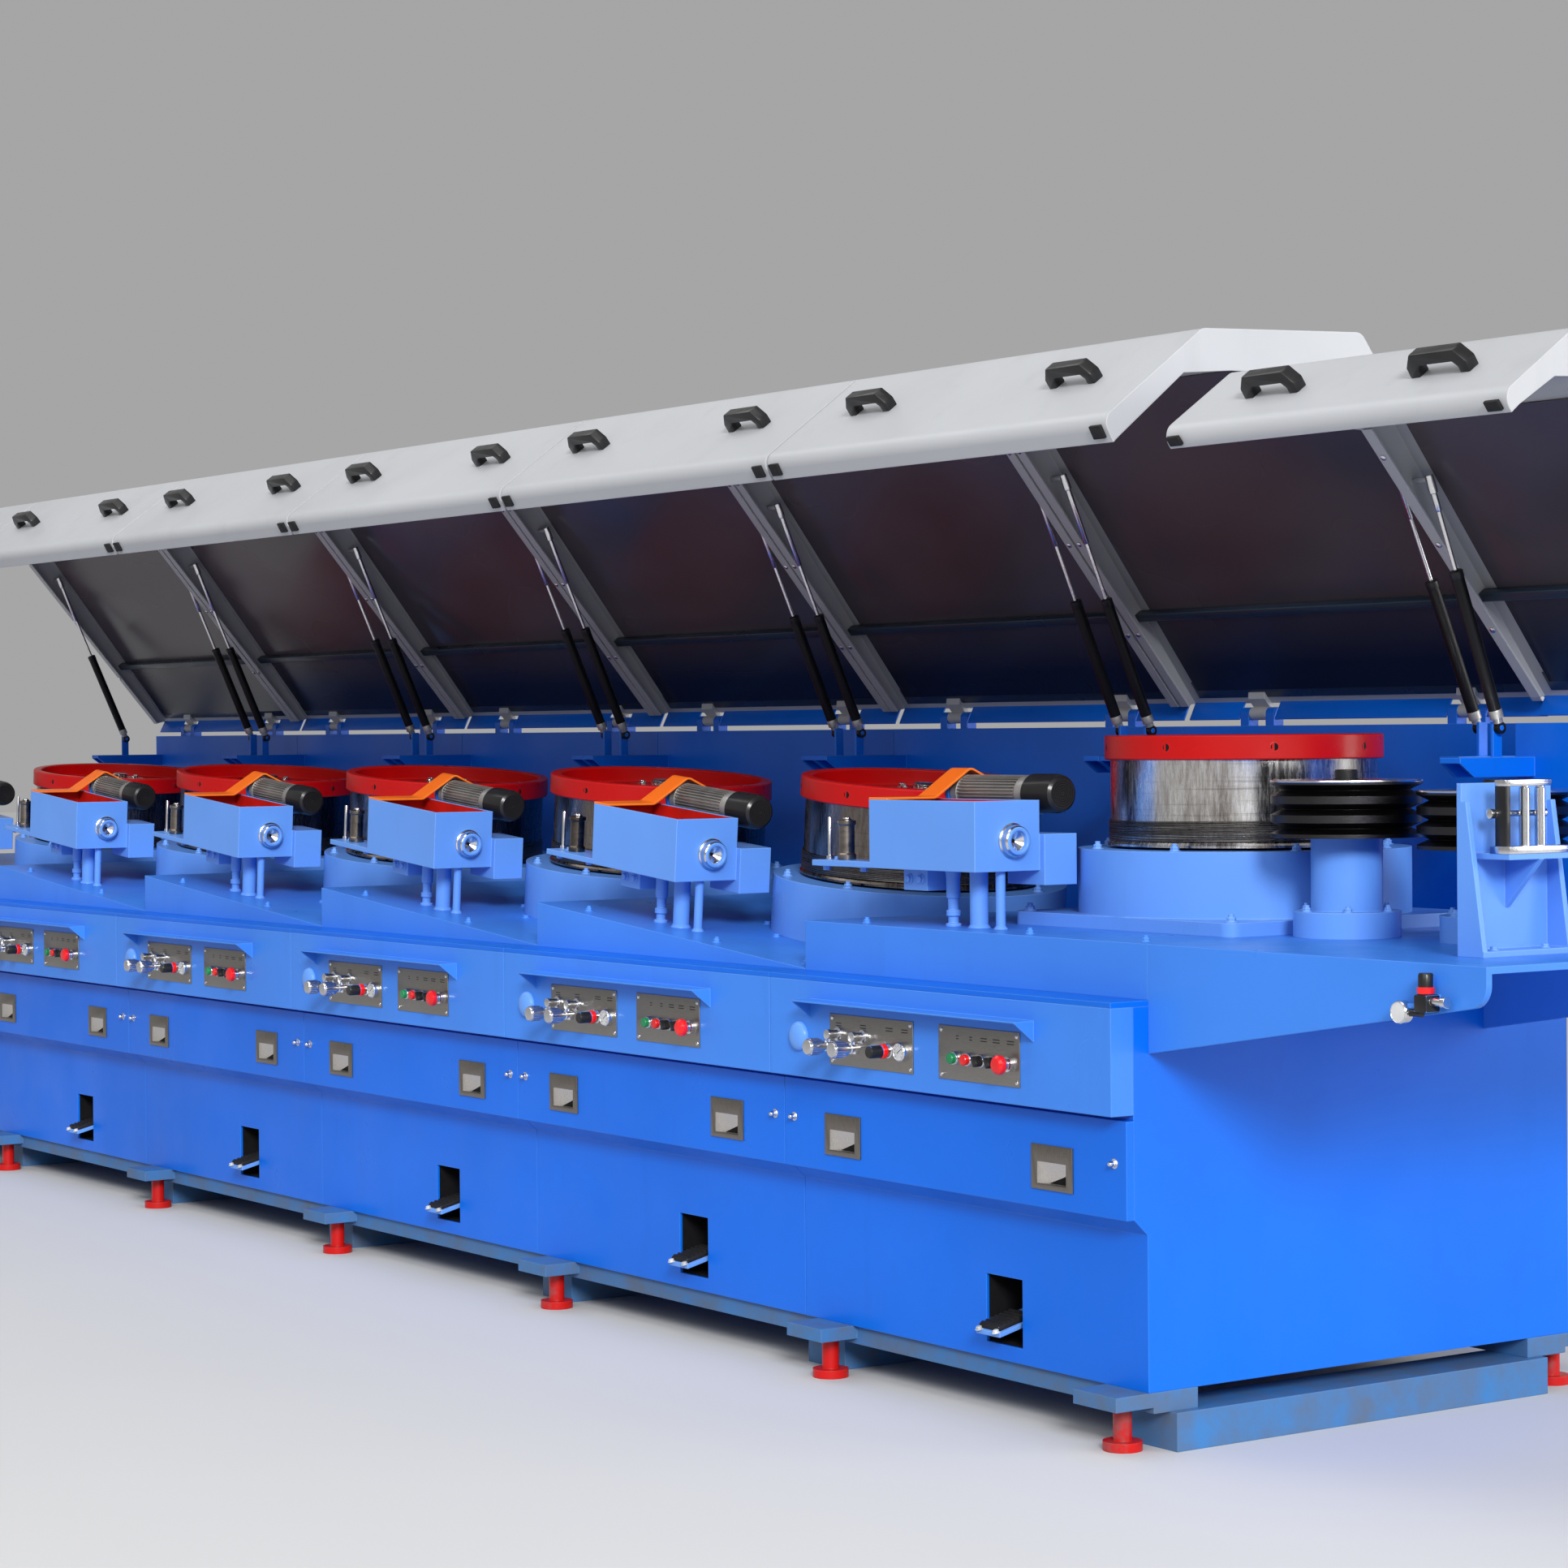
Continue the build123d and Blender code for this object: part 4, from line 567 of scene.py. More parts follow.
# Die boxes: red lining, clamp bolts, drain, post collars and die rings
BOX_LEFT, BOX_RIGHT, BOX_NEAR, BOX_FAR = -1.014, -0.614, 0.025, 0.208
BOX_MIDDLE, BOX_CENTRE = (BOX_LEFT + BOX_RIGHT) / 2, (BOX_NEAR + BOX_FAR) / 2
BOX_WALL = 0.0075
LINING_LENGTH, LINING_WIDTH, LINING_HEIGHT, LINING = 0.386, 0.168, 0.146, 0.0015
boxes = Piece("die_box_fittings")
rings = Piece("die_ring_trim")
for bay in range(1, BAYS + 1):
    for y in (BOX_NEAR + BOX_WALL, BOX_FAR - BOX_WALL):
        boxes.block(deck(bay, BOX_MIDDLE, y, 0.2135), (LINING_LENGTH, LINING, LINING_HEIGHT), "soap_red", 0.0)
    for x in (BOX_LEFT + BOX_WALL, BOX_RIGHT - BOX_WALL):
        boxes.block(deck(bay, x, BOX_CENTRE, 0.2135), (LINING, LINING_WIDTH, LINING_HEIGHT), "soap_red", 0.0)
    boxes.block(deck(bay, BOX_MIDDLE, BOX_CENTRE, 0.1375), (LINING_LENGTH, LINING_WIDTH, 0.002), "soap_red",
                0.0)
    for dx in (-0.022, 0.022):
        boxes.bolt(deck(bay, -0.905 + dx, BOX_CENTRE - 0.040, 0.106) @ OUT, 0.009, 0.010, "pale_blue")
    drain = [(0.018, 0.0), (0.018, 0.006), (0.0122, 0.008), (0.0122, 0.022), (0.0165, 0.024), (0.0165, 0.036),
             (0.0122, 0.038), (0.0125, 0.062), (0.0160, 0.066), (0.0165, 0.110), (0.0190, 0.129)]
    boxes.turned(deck(bay, -0.815, BOX_CENTRE), drain, "pale_blue", 24)
    for x, r in ((-0.719, 0.021), (-0.640, 0.011)):
        collar = [(r + 0.005, 0.0), (r + 0.004, 0.003), (r + 0.001, 0.006), (r * 1.001, 0.008)]
        boxes.turned(deck(bay, x, BOX_CENTRE), collar, "pale_blue", 24)
    wire_at = deck(bay, BOX_RIGHT, 0.131, 0.198) @ ALONG
    rings.turned(wire_at, [(0.0400, 0.0), (0.0400, 0.004), (0.0365, 0.006), (0.0355, 0.018), (0.0340, 0.022),
                           (0.0315, 0.024)],
                 "bright_metal", 48)
    rings.turned(wire_at, [(0.0317, 0.0238), (0.0300, 0.0262), (0.0265, 0.0270), (0.0235, 0.0262),
                           (0.0220, 0.0235), (0.0212, 0.0150)],
                 "pale_blue", 48)
    rings.turned(wire_at, [(0.0214, 0.0155), (0.0130, 0.0095), (0.0045, 0.0030)], "bright_metal", 40)
    # Near-black disc in the die's bore: painted shade.
    rings.turned(wire_at, [(0.0046, 0.0031), (0.0, 0.0028)], "slot_dark", 16)
boxes.done("machine", "pale_blue")
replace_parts(rings.done("machine", "bright_metal"), "die_rings")

# Stirrer motors: finned body, fan cover, blue flange and pulley
FINS, FIN_RING, FIN_MIDDLE = 32, 0.0372, 0.134
motors = Piece("motor_bodies")
for bay in range(1, BAYS + 1):
    shaft = deck(bay, -0.978, 0.270, 0.301) @ ALONG
    motors.turned(shaft, [(0.0, 0.0), (0.040, 0.0), (0.0415, 0.003), (0.0415, 0.026), (0.034, 0.028),
                          (0.034, 0.240),
                          (0.0415, 0.243), (0.0415, 0.268), (0.040, 0.271), (0.0, 0.271)], "motor_silver", 40)
    for k in range(FINS):
        fin = shaft @ spoke(2 * pi * k / FINS, FIN_RING, FIN_MIDDLE)
        motors.block(fin, (0.0085, 0.0022, 0.208), "motor_silver", 0.0)
    motors.turned(shaft, [(0.0425, 0.271), (0.0448, 0.273), (0.0448, 0.352), (0.041, 0.366), (0.034, 0.371),
                          (0.0, 0.371)],
                  "moulding", 40)
    # Near-black rings on the fan cover's end: painted shade in its openings.
    for k in range(5):
        motors.turned(shaft, [(0.006 + 0.0055 * k, 0.3711), (0.008 + 0.0055 * k, 0.3714)], "slot_dark", 28)
    motors.turned(shaft, [(0.0, -0.012), (0.0425, -0.012), (0.0438, -0.0105), (0.0438, -0.0005), (0.0400, 0.0)],
                  "cabinet_blue", 44)
    motors.turned(shaft, [(0.0, -0.030), (0.030, -0.030), (0.033, -0.027), (0.027, -0.021), (0.033, -0.015),
                          (0.030, -0.012)],
                  "sheave_black", 32)
    motors.block(shaft @ shift(0.0, -0.046, 0.136), (0.070, 0.012, 0.170), "motor_silver", 0.003)
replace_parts(motors.done("machine", "motor_silver"), "stirrer_motors")

# Guide rollers: collared rollers and pins on the roller plates, and a pair under the exit bracket's bar
ROLLER_PLATE, ROLLER_Y = 0.144, 0.070
UPRIGHT_X, BRACKET_Y, ROLLER_SHELF = EXIT_X + 0.715, FRONT_Y + 0.302, DECK_TOP + 0.200
ROLLER_X = UPRIGHT_X + 0.080
guides = Piece("guide_roller_bodies")
for bay in range(1, BAYS + 1):
    foot = deck(bay, -1.167, ROLLER_Y, ROLLER_PLATE)
    guides.turned(foot, [(0.0, 0.0), (0.0215, 0.0), (0.022, 0.002), (0.022, 0.012), (0.0185, 0.016),
                         (0.0185, 0.080), (0.022, 0.084),
                         (0.022, 0.092), (0.012, 0.094), (0.012, 0.096), (0.0, 0.097)], "drum_dark", 40)
    guides.bolt(foot @ shift(0, 0, 0.093), 0.009, 0.007, "bright_metal", False)
    pin = deck(bay, -1.236, ROLLER_Y, ROLLER_PLATE)
    guides.turned(pin, [(0.0085, 0.0), (0.0085, 0.008), (0.005, 0.010), (0.005, 0.098), (0.004, 0.100),
                        (0.0, 0.100)], "bright_metal", 20)
    for x in (-1.055, -1.205):
        guides.bolt(deck(bay, x, ROLLER_Y, ROLLER_PLATE), 0.007, 0.007, "pale_blue")
        guides.bolt(deck(bay, x - 0.03, 0.060, 0.130) @ Matrix.Rotation(pi, 4, "X"), 0.009, 0.012, "pale_blue")
exit_roller = [(0.0, 0.0), (0.0085, 0.0), (0.0085, 0.004), (0.0107, 0.005), (0.0107, 0.125), (0.0085, 0.126),
               (0.0085, 0.130), (0.0, 0.130)]
for dy in (-0.0215, 0.0215):
    guides.turned(shift(ROLLER_X, BRACKET_Y + dy, ROLLER_SHELF), exit_roller, "bright_metal", 36)
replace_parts(guides.done("machine", "bright_metal"), "guide_rollers")

# Front: control plates, latches, screws and pedal slots
def latch_plate(piece, at):
    """Bevelled plate round a cupped finger pull, with a painted highlight on the cup and a painted shadow in
    its lower corner.
    """
    def loop(x, top, bottom, z):
        return [(-x, bottom, z), (x, bottom, z), (x, top, z), (-x, top, z)]

    pull, top, bottom, floor = 0.0485, 0.0115, -0.0355, -0.0066
    points = (loop(0.0700, 0.0480, -0.0480, -0.0005) + loop(0.0700, 0.0480, -0.0480, 0.0032)
              + loop(0.0665, 0.0445, -0.0445, 0.0048) + loop(pull + 0.002, top + 0.002, bottom - 0.002, 0.0048)
              + loop(pull, top, bottom, 0.0036) + loop(pull, top, bottom, floor))
    walls = [[4 * k + i, 4 * k + (i + 1) % 4, 4 * k + 4 + (i + 1) % 4,
              4 * k + 4 + i] for k in range(5) for i in range(4)]
    piece.faces(points, walls, "latch_steel", at)
    # The cup takes the lit copy of the latch steel: a painted highlight.
    across, along = 16, 12
    cup = []
    for i in range(across + 1):
        u = i / across
        fall = min(1.0, u / 0.36)
        for j in range(along + 1):
            v = j / along
            depth = 0.0094 * fall * fall * (3 - 2 * fall) * (1 - 0.92 * v * v)
            cup.append((-pull + 2 * pull * u, bottom + (top - bottom) * v, 0.0030 - depth))
    step = along + 1
    piece.faces(cup, [[i * step + j, (i + 1) * step + j, (i + 1) * step + j + 1, i * step + j + 1]
                      for i in range(across) for j in range(along)], "latch_scoop", at)
    # Dark triangle in the cup's lower corner: a painted shadow.
    piece.faces([(-0.018, bottom + 0.001, -0.0058), (pull - 0.001, bottom + 0.001, -0.0058),
                 (pull - 0.001, -0.012, -0.0042)],
                [[0, 1, 2]], "slot_dark", at)


PLATE_FACE, ROW_Z, MARK_Z = 0.0026, 0.792, 0.840
VALVES, KNURLS, KNURL_RING = (-0.968, -0.872), 20, 0.0186
MARKS = ((-0.968, 0.020), (-0.872, 0.022), (-0.772, 0.026), (-0.714, 0.024), (-0.520, 0.008), (-0.472, 0.010),
         (-0.426, 0.022), (-0.382, 0.024), (-0.332, 0.024))
DIAL_MARKS, DIAL_RING = 9, 0.0145
SLOT_Z, SLOT_WIDTH, SLOT_HEIGHT, SLOT_DEPTH, SLOT_MIDDLE = 0.235, 0.127, 0.149, 0.250, -0.132
controls = Piece("controls")
latches = Piece("panel_latches")
for bay in range(1, BAYS + 1):
    def panel(x, z, out=CONSOLE_OUT):
        return front(bay, x, out, z)

    def on_plate(x, z=ROW_Z):
        return panel(x, z) @ shift(0, 0, PLATE_FACE)

    for x0, x1, z0, z1 in ((-1.0035, -0.6835, 0.7435, 0.8605), (-0.5885, -0.3015, 0.7430, 0.8610)):
        width, height = x1 - x0, z1 - z0
        x, z = (x0 + x1) / 2, (z0 + z1) / 2
        controls.block(panel(x, z) @ shift(0, 0, 0.0012), (width, height, 0.0028), "plate_steel", 0.0009)
        for dx in (-1, 1):
            for dz in (-1, 1):
                corner = panel(x + dx * (width / 2 - 0.010), z + dz * (height / 2 - 0.010))
                corner = corner @ shift(0, 0, 0.0024)
                controls.turned(corner, [(0.0048, 0.0), (0.0046, 0.0014), (0.003, 0.0024), (0.0, 0.0027)],
                                "bright_metal", 16)
    for x in VALVES:
        base = on_plate(x, 0.815)
        controls.turned(base, [(0.016, 0.0), (0.016, 0.004), (0.010, 0.006), (0.010, 0.020), (0.012, 0.024),
                               (0.012, 0.034), (0.0, 0.036)],
                        "bright_metal", 24)
        elbow = panel(x, 0.790) @ shift(0, 0, 0.028)
        controls.turned(elbow @ shift(0, 0.022, 0.0) @ OUT,
                        [(0.009, -0.01), (0.009, 0.022), (0.012, 0.024), (0.012, 0.034)], "bright_metal", 20)
        controls.turned(elbow, [(0.0, -0.012), (0.012, -0.010), (0.012, 0.012), (0.010, 0.014), (0.010, 0.022),
                                (0.0165, 0.024), (0.0165, 0.030),
                                (0.0185, 0.032), (0.0185, 0.060), (0.0165, 0.064), (0.0, 0.065)],
                                "bright_metal", 28)
        for k in range(KNURLS):
            controls.block(elbow @ spoke(2 * pi * k / KNURLS, KNURL_RING, 0.046), (0.0022, 0.0030, 0.026),
                           "bright_metal", 0.0)
    knob = on_plate(-0.772, 0.790)
    controls.turned(knob, [(0.0165, 0.0), (0.0165, 0.004), (0.0140, 0.006), (0.0140, 0.012)], "bright_metal",
                    24)
    controls.turned(knob, [(0.0150, 0.012), (0.0165, 0.014), (0.0165, 0.024), (0.0150, 0.026)], "button_red",
                    28)
    controls.turned(knob, [(0.0130, 0.026), (0.0145, 0.028), (0.0145, 0.054), (0.0125, 0.058), (0.0, 0.058)],
                    "moulding", 24)
    gauge = on_plate(-0.714)
    controls.turned(gauge, [(0.0205, 0.0), (0.0215, 0.002), (0.0215, 0.016), (0.0195, 0.019), (0.0185, 0.0175)],
                    "bright_metal", 36)
    controls.turned(gauge, [(0.0187, 0.0176), (0.0, 0.0176)], "gauge_white", 36)
    for k in range(DIAL_MARKS):
        a = radians(225 - 270 * k / (DIAL_MARKS - 1))
        controls.block(gauge @ around(a, DIAL_RING, 0.0178) @ Matrix.Rotation(a, 4, "Z"),
                       (0.0045, 0.0009, 0.0004),
                       "slot_dark", 0)
    controls.block(gauge @ shift(0.004, 0.003, 0.0180) @ Matrix.Rotation(radians(35), 4, "Z"),
                   (0.020, 0.0012, 0.0005), "slot_dark", 0)
    for x, cap in ((-0.520, "button_green"), (-0.472, "button_red")):
        button = on_plate(x)
        controls.turned(button, [(0.0145, 0.0), (0.0150, 0.002), (0.0150, 0.010), (0.0135, 0.013),
                                 (0.0115, 0.013)], "bright_metal", 28)
        controls.turned(button, [(0.0118, 0.010), (0.0118, 0.022), (0.0105, 0.024), (0.0, 0.0245)], cap, 28)
    for x in (-0.426, -0.382):
        button = on_plate(x)
        controls.turned(button, [(0.0145, 0.0), (0.0150, 0.002), (0.0150, 0.009), (0.0135, 0.012),
                                 (0.0120, 0.012)], "bright_metal", 28)
        controls.turned(button, [(0.0122, 0.010), (0.0122, 0.016), (0.0, 0.017)], "moulding", 28)
        controls.block(button @ shift(0, 0, 0.024) @ Matrix.Rotation(radians(25), 4, "Z"),
                       (0.0075, 0.024, 0.016), "moulding", 0.002)
    stop = on_plate(-0.332)
    controls.turned(stop, [(0.0160, 0.0), (0.0165, 0.002), (0.0165, 0.012), (0.0120, 0.014), (0.0120, 0.026)],
                    "bright_metal", 28)
    controls.turned(stop, [(0.0120, 0.024), (0.0205, 0.027), (0.0215, 0.031), (0.0205, 0.038), (0.0150, 0.043),
                           (0.0, 0.0445)], "button_red", 32)
    for x, w in MARKS:
        for row in (0.0, 0.006):
            controls.block(panel(x, MARK_Z - row) @ shift(0, 0, 0.0028), (w, 0.0022, 0.0004), "moulding", 0)
    dome = panel(-1.128, 0.800)
    controls.turned(dome, [(0.034, 0.0), (0.034, 0.003), (0.032, 0.008), (0.026, 0.013), (0.016, 0.0165),
                           (0.0, 0.018)], "pale_blue", 40)
    for x in (-0.245, -1.013):
        latch_plate(latches, panel(x, 0.575, COVER_OUT))
    for x in (-0.040, -PITCH + 0.040):
        nut = panel(x, 0.604, COVER_OUT)
        latches.bolt(nut, 0.0080, 0.006, "bright_metal")
        latches.turned(nut, [(0.0062, 0.005), (0.0060, 0.013), (0.0040, 0.016), (0.0, 0.0165)], "bright_metal",
                       18)
    # Near-black sheets lining the pedal slot: painted shade inside it.
    slot_at = front(bay, PEDAL_X, 0.0, SLOT_Z)
    latches.block(slot_at @ shift(0, 0, -0.258), (SLOT_WIDTH, SLOT_HEIGHT, 0.002), "slot_dark", 0)
    for dx in (-0.063, 0.063):
        latches.block(slot_at @ shift(dx, 0, SLOT_MIDDLE), (0.0012, SLOT_HEIGHT, SLOT_DEPTH), "slot_dark", 0)
    for dz in (-0.074, 0.074):
        latches.block(slot_at @ shift(0, dz, SLOT_MIDDLE), (SLOT_WIDTH, 0.0012, SLOT_DEPTH), "slot_dark", 0)
controls.done("machine", "bright_metal")
latches.done("machine", "bright_metal")

# Pedal pads: rubber treads with two bolts
TREAD_OUT, TREAD_LOW = 0.046, 0.196
TREAD_SLOPE = atan2((0.238 + 0.016 - TREAD_LOW) / (0.190 + TREAD_OUT), 1.0)
TREAD = columns((1, 0, 0), (0, cos(TREAD_SLOPE), sin(TREAD_SLOPE)), (0, -sin(TREAD_SLOPE), cos(TREAD_SLOPE)))
for bay in range(1, BAYS + 1):
    pad = Piece(f"pedal_pad_{bay}")
    tread = shift(bay_end(bay) + PEDAL_X, FRONT_Y - TREAD_OUT, TREAD_LOW) @ TREAD
    pad.block(tread @ shift(0, 0.052, 0.006), (0.072, 0.096, 0.012), "rubber", 0.003)
    for k in range(7):
        pad.block(tread @ shift(0, 0.012 + 0.013 * k, 0.0125), (0.066, 0.006, 0.004), "rubber", 0.001)
    for dx in (-0.030, 0.030):
        pad.bolt(tread @ shift(dx, -0.001, 0.0), 0.007, 0.007, "gauge_white")
    pad.done(f"pedal_{bay}", "bright_metal")

# Lids: black bridge handles, rubber bumpers, rib covers in painted shade, hinge strips and bolt heads
HANDLE = [(-0.0770, 0.0), (-0.0770, 0.0230), (-0.0570, 0.0496), (0.0570, 0.0496), (0.0770, 0.0230),
          (0.0770, 0.0),
          (0.0515, 0.0), (0.0515, 0.0135), (0.0420, 0.0245), (-0.0420, 0.0245), (-0.0515, 0.0135),
          (-0.0515, 0.0)]
HANDLE_WIDTH = 0.029
HINGE_STRIP = [(0.017, 0.027), (-0.002, -0.021), (0.002, -0.0225), (0.021, 0.0255)]
for name, x_end, width, shape in lids:
    trim = Piece(f"lid_trim_{name}")
    base = lid_frame(x_end, shape)
    (tu, tv), (bu, bv) = shape["outline"][2:4]
    length = hypot(tu - bu, tv - bv)
    up = ((tu - bu) / length, (tv - bv) / length)
    out = (up[1], -up[0])
    face = columns((1, 0, 0), (0, -up[0], -up[1]), (0, out[0], out[1]))
    for spread in (-shape["spread"] / 2, shape["spread"] / 2):
        grip = base @ shift(width / 2 + spread, (tu + bu) / 2, (tv + bv) / 2) @ face
        trim.slab(grip @ OUT @ shift(0, 0, -HANDLE_WIDTH / 2), HANDLE, HANDLE_WIDTH, "moulding", 0.003)
    (lu, lv) = shape["outline"][4]
    lip = hypot(bu - lu, bv - lv)
    inward = ((lu - bu) / lip, (lv - bv) / lip)
    pad = columns((1, 0, 0), (0, *inward), (0, -inward[1], inward[0]), (0, (bu + lu) / 2, (bv + lv) / 2))
    for w in (0.030, width - 0.030):
        trim.block(base @ shift(w, 0, 0) @ pad @ shift(0, 0, 0.004), (0.036, lip * 0.55, 0.008), "rubber",
                   0.002)
    (hu, hv), (fu, fv) = shape["outline"][:2]
    roof = hypot(fu - hu, fv - hv)
    along = ((fu - hu) / roof, (fv - hv) / roof)
    under = base @ columns((1, 0, 0), (0, *along), (0, -along[1], along[0]), (width / 2, hu, hv))
    # Dark strips over the cross rib and along the roof near the hinge: painted shade.
    trim.block(under @ shift(0, 0.290, -0.0204), (width - 0.012, 0.022, 0.0212), "rib_painted_shade", 0.002)
    trim.block(under @ shift(0, 0.045, -0.0063), (width - 0.070, 0.050, 0.0016), "rib_painted_shade", 0.0004)
    for start, end in ((0.006, 0.195), (0.325, width - 0.325), (width - 0.195, width - 0.006)):
        trim.slab(base @ shift(start, 0, 0) @ ALONG, HINGE_STRIP, end - start, "cabinet_blue", 0.0008)
    (ru, rv), (eu, ev) = shape["edge"][-2:]
    for w in (0.015, width - 0.015):
        for t in (0.10, 0.42, 0.74):
            screw = base @ shift(w, ru + (eu - ru) * t, rv + (ev - rv) * t - 0.0002)
            trim.turned(screw @ Matrix.Rotation(pi, 4, "X"),
                        [(0.0075, 0.0), (0.0070, 0.0025), (0.0045, 0.0042), (0.0, 0.0046)], "bright_metal", 14)
    trim.done(f"lid_{name}", "lid_grey")

# Gas struts: bright end collars, glands and rod sleeves
GLAND_END, SLEEVE_LENGTH = 0.366, 0.175
STRUT_BACK, STRUT_DROP, STRUT_INSET = 0.185, 0.040, 0.055
for name, x_end, width, shape in lids:
    a = radians(shape["opened"])
    u, v = shape["strut"]
    ahead, rise = u * cos(a) - v * sin(a) - STRUT_BACK, u * sin(a) + v * cos(a) + STRUT_DROP
    reach = hypot(ahead, rise)
    along = Vector((0, -ahead, rise)) / reach
    side = Vector((1, 0, 0))
    collars, sleeves = Piece(f"strut_collars_{name}"), Piece(f"strut_sleeves_{name}")
    for x in (x_end - STRUT_INSET, x_end - width + STRUT_INSET):
        foot = columns(side, along.cross(side), along,
                       (x, FRONT_Y + shape["back"] - STRUT_BACK, HINGE_Z - STRUT_DROP))
        collars.turned(foot, [(0.0066, 0.010), (0.0105, 0.012), (0.0105, 0.022), (0.0146, 0.0225),
                              (0.0148, 0.040), (0.0140, 0.042)], "motor_silver", 24)
        collars.turned(foot, [(0.0141, 0.340), (0.0150, 0.343), (0.0150, 0.356), (0.0110, 0.359),
                              (0.0056, 0.3595)], "moulding", 24)
        cuff = max(reach - SLEEVE_LENGTH, GLAND_END + shape["stroke"])
        sleeves.turned(foot, [(0.0052, cuff), (0.0068, cuff + 0.003), (0.0068, reach - 0.032),
                              (0.0092, reach - 0.0305), (0.0097, reach - 0.024),
                              (0.0097, reach - 0.006), (0.0070, reach + 0.0095), (0.0, reach + 0.0098)],
                              "bright_metal", 20)
    collars.done(f"strut_barrels_{name}", "bright_metal")
    sleeves.done(f"strut_rods_{name}", "bright_metal")

# Exit end: sheave caps, stand bolts, roller stand fittings and the air regulator
SHEAVES = ((0.092, 0.478, 1.272), (0.445, 0.560, 1.252))
STAND_RING = 0.098
ends = Piece("exit_fittings")
for number, (ahead, back, bottom) in enumerate(SHEAVES, start=1):
    axle = shift(EXIT_X + ahead, FRONT_Y + back, bottom)
    caps = Piece(f"sheave_cap_{number}", axle)
    here = Matrix.Identity(4)
    caps.turned(here, [(0.1602, 0.1165), (0.1612, 0.1180), (0.1606, 0.1212), (0.150, 0.1218), (0.060, 0.1216),
                       (0.056, 0.1212)], "bright_metal", 72)
    caps.turned(here, [(0.0270, 0.1215), (0.0270, 0.1240), (0.0248, 0.1250), (0.0248, 0.1385), (0.0210, 0.1426),
                       (0.0, 0.1430)], "moulding", 40)
    caps.done(f"sheave_{number}", "sheave_black")
    for k in range(6):
        a = 2 * pi * (k + 0.3) / 6
        ends.stud(shift(EXIT_X + ahead + STAND_RING * cos(a), FRONT_Y + back + STAND_RING * sin(a),
                        DECK_TOP + 0.056),
                  0.0085, 0.014, "pale_blue")
for dy in (-0.070, 0.070):
    ends.bolt(shift(UPRIGHT_X + 0.045, BRACKET_Y + dy, DECK_TOP + 0.012), 0.008, 0.008, "pale_blue")
ends.block(shift(ROLLER_X, BRACKET_Y, ROLLER_SHELF + 0.0065), (0.054, 0.178, 0.015), "bright_metal", 0.0015)
ends.block(shift(ROLLER_X, BRACKET_Y - 0.080, ROLLER_SHELF + 0.0655), (0.030, 0.012, 0.131), "moulding", 0.0015)
ends.block(shift(ROLLER_X, BRACKET_Y - 0.024, ROLLER_SHELF + 0.1355), (0.030, 0.126, 0.0125), "bright_metal",
           0.0015)
rod = [(ROLLER_X - 0.018, BRACKET_Y + dy, ROLLER_SHELF + 0.076) for dy in (-0.092, 0.045)]
ends.tube(Matrix.Identity(4), rod, 0.0060, "bright_metal", 16)
for place in rod:
    ends.turned(shift(*place) @ OUT, [(0.0, -0.009), (0.0095, -0.007), (0.0105, 0.0), (0.0095, 0.007),
                                      (0.0, 0.009)], "bright_metal", 20)
air = shift(EXIT_X + 0.828, FRONT_Y + 0.005, 0.985) @ OUT
ends.block(air @ shift(0, 0, 0.0195), (0.034, 0.034, 0.038), "moulding", 0.004)
ends.turned(air @ shift(0, 0.018, 0.022) @ RISE,
            [(0.016, 0.0), (0.017, 0.002), (0.017, 0.012), (0.0145, 0.013)],
            "button_red", 28)
ends.turned(air @ shift(0, 0.031, 0.022) @ RISE,
            [(0.0145, 0.0), (0.0145, 0.022), (0.0125, 0.026), (0.0, 0.026)],
            "moulding", 24)
ends.turned(air @ shift(0.022, 0.004, 0.022) @ ALONG,
            [(0.008, -0.006), (0.008, 0.020), (0.011, 0.022), (0.011, 0.034), (0.0, 0.034)],
            "bright_metal", 20)
ends.turned(air @ shift(-0.040, -0.020, 0.022) @ ALONG, [(0.007, -0.020), (0.007, 0.030), (0.0, 0.030)],
            "moulding", 18)
dial = air @ shift(-0.062, -0.020, 0.026)
ends.turned(dial, [(0.0, -0.012), (0.021, -0.012), (0.022, -0.010), (0.022, 0.006), (0.020, 0.009),
                   (0.0188, 0.0075)],
            "bright_metal", 32)
ends.turned(dial, [(0.0190, 0.0076), (0.0, 0.0076)], "gauge_white", 32)
ends.done("machine", "bright_metal")


# Stage, light and camera

FLOOR_HALF = 60.0


def stage_floor():
    mesh = bpy.data.meshes.new("floor")
    corners = [(x * FLOOR_HALF, y * FLOOR_HALF, 0) for x, y in ((-1, -1), (1, -1), (1, 1), (-1, 1))]
    mesh.from_pydata(corners, [], [(0, 1, 2, 3)])
    floor = bpy.data.objects.new("floor", mesh)
    bpy.context.scene.collection.objects.link(floor)
    made = Finish("floor", (0.58, 0.58, 0.58), 0.75)
    made.tint(made.mix(made.noise(0.6, 3.0), (0.56, 0.56, 0.565), (0.60, 0.60, 0.60)))
    mesh.materials.append(made.material)


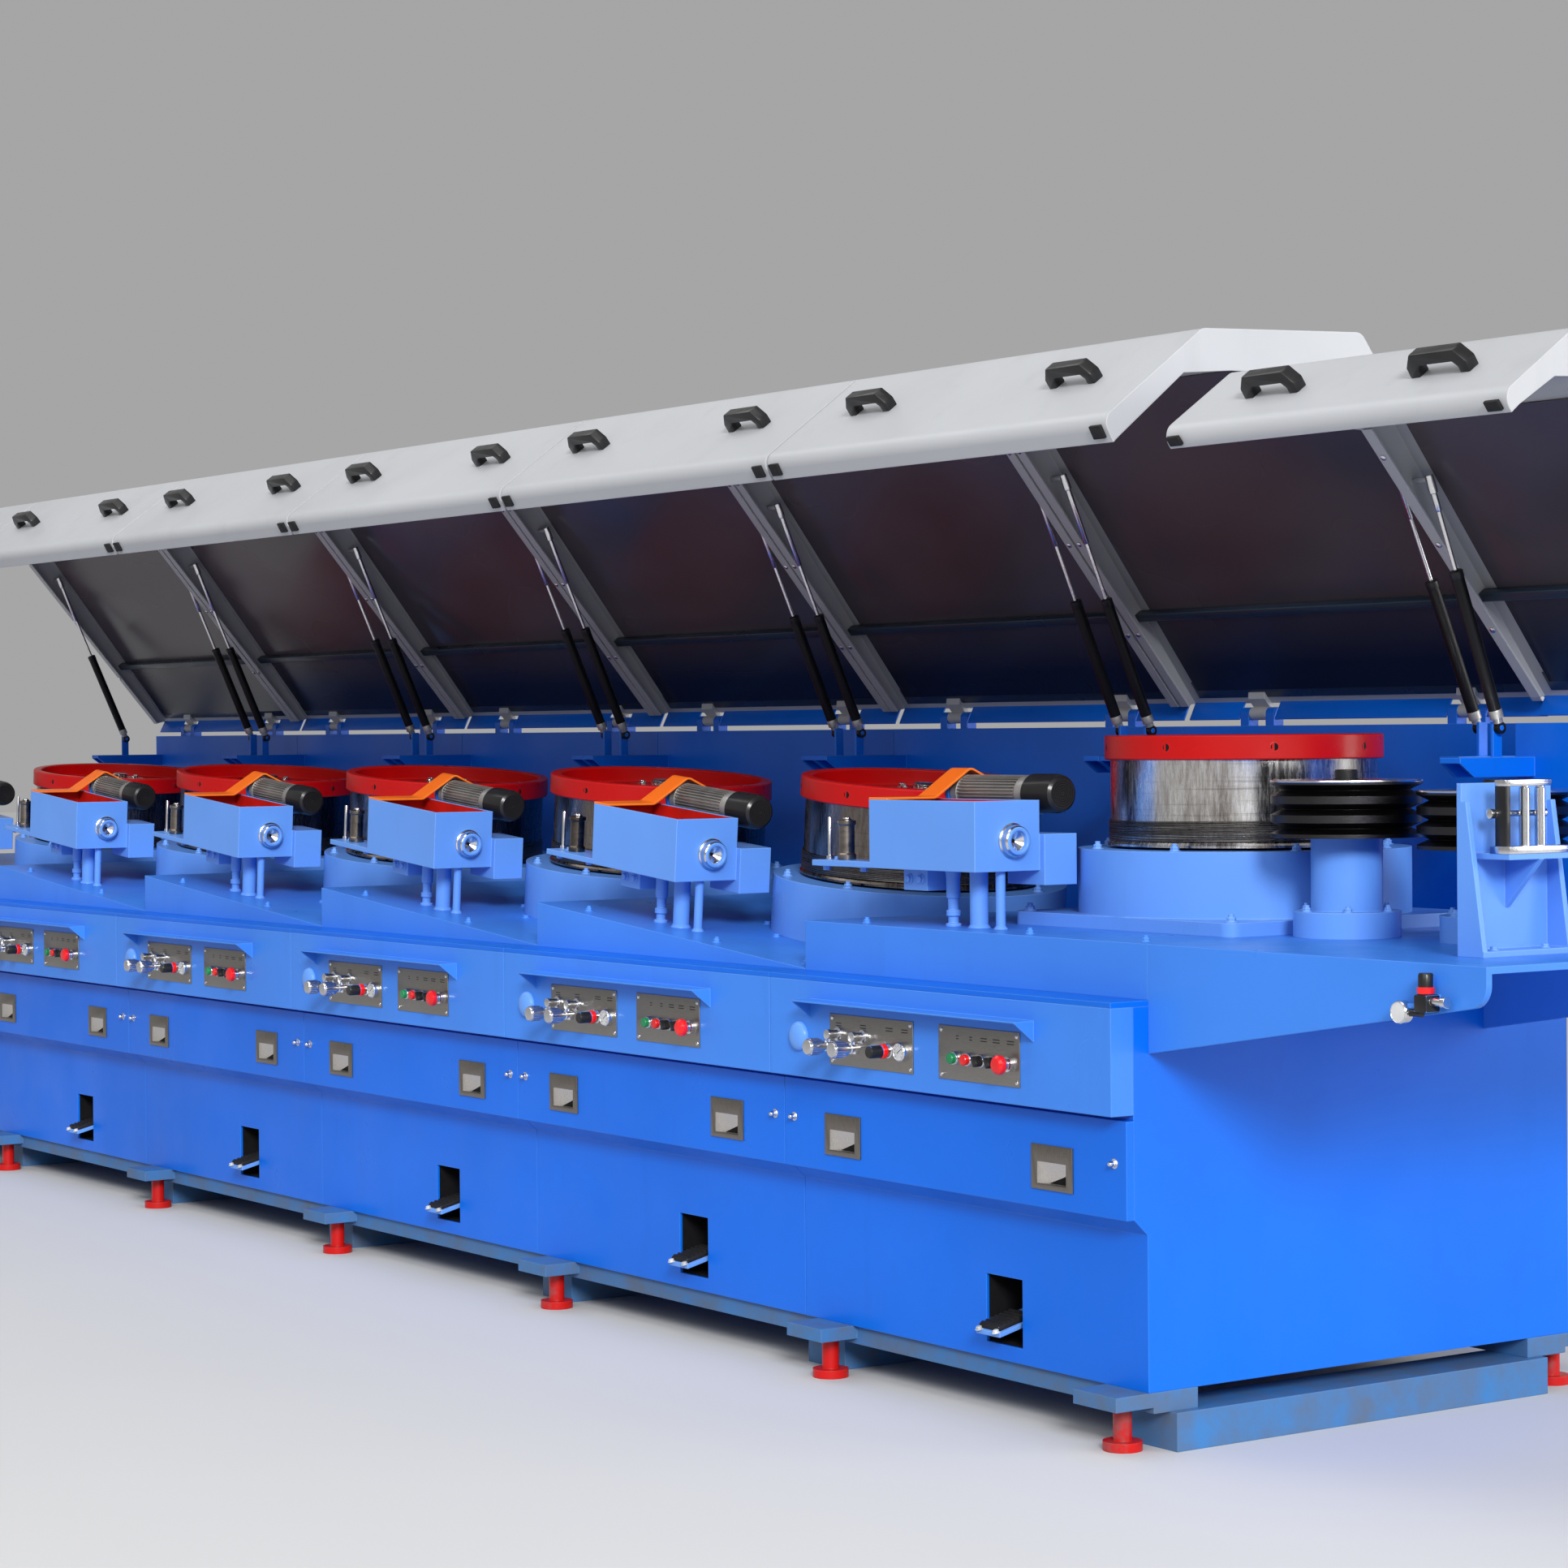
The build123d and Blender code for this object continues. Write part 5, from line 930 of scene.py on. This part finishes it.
def area_light(name, place, target, size, power):
    data = bpy.data.lights.new(name, "AREA")
    data.shape = "RECTANGLE"
    data.size, data.size_y = size
    data.energy = power
    made = bpy.data.objects.new(name, data)
    bpy.context.scene.collection.objects.link(made)
    made.location = place
    made.rotation_euler = (Vector(target) - Vector(place)).to_track_quat("-Z", "Y").to_euler()


stage_floor()
world = bpy.data.worlds.new("studio")
bpy.context.scene.world = world
world.use_nodes = True
sky = world.node_tree.nodes["Background"].inputs
sky["Color"].default_value = (1.0, 1.0, 1.0, 1)
sky["Strength"].default_value = 0.38
area_light("key", (7.5, -8.0, 6.0), (0.8, -0.4, 0.9), (7.0, 5.0), 350.0)
area_light("end", (11.0, -0.6, 3.4), (3.7, 0.0, 0.8), (4.0, 3.0), 90.0)
area_light("sheen", (9.8, 6.2, 2.8), (2.6, 0.0, 0.9), (6.0, 4.0), 330.0)
area_light("top", (0.0, -2.2, 7.5), (0.0, 0.0, 1.0), (12.0, 4.0), 250.0)
sun_data = bpy.data.lights.new("side_sun", "SUN")
sun_data.energy = 2.7
sun_data.angle = radians(14)
sun = bpy.data.objects.new("side_sun", sun_data)
bpy.context.scene.collection.objects.link(sun)
sun.rotation_euler = Vector((-0.80, 0.42, -0.40)).to_track_quat("-Z", "Y").to_euler()

CAMERA_AT, LENS, SENSOR = (EXIT_X + 5.649, FRONT_Y - 4.762, 1.503), 81.61, 36.0
yaw, pitch, roll = radians(34.328470), radians(-0.828742), radians(-0.492631)
ahead = Vector((-cos(yaw), sin(yaw), 0))
right = Vector((sin(yaw), cos(yaw), 0))
up = Vector((0, 0, 1))
ahead, up = ahead * cos(pitch) + up * sin(pitch), up * cos(pitch) - ahead * sin(pitch)
right, up = right * cos(roll) + up * sin(roll), up * cos(roll) - right * sin(roll)
camera_data = bpy.data.cameras.new("camera")
camera_data.sensor_width = SENSOR
camera_data.lens = LENS
camera_data.clip_end = 200.0
camera = bpy.data.objects.new("camera", camera_data)
bpy.context.scene.collection.objects.link(camera)
camera.matrix_world = columns(right, up, -ahead, CAMERA_AT)
bpy.context.scene.camera = camera
bpy.context.scene.view_settings.view_transform = "Standard"
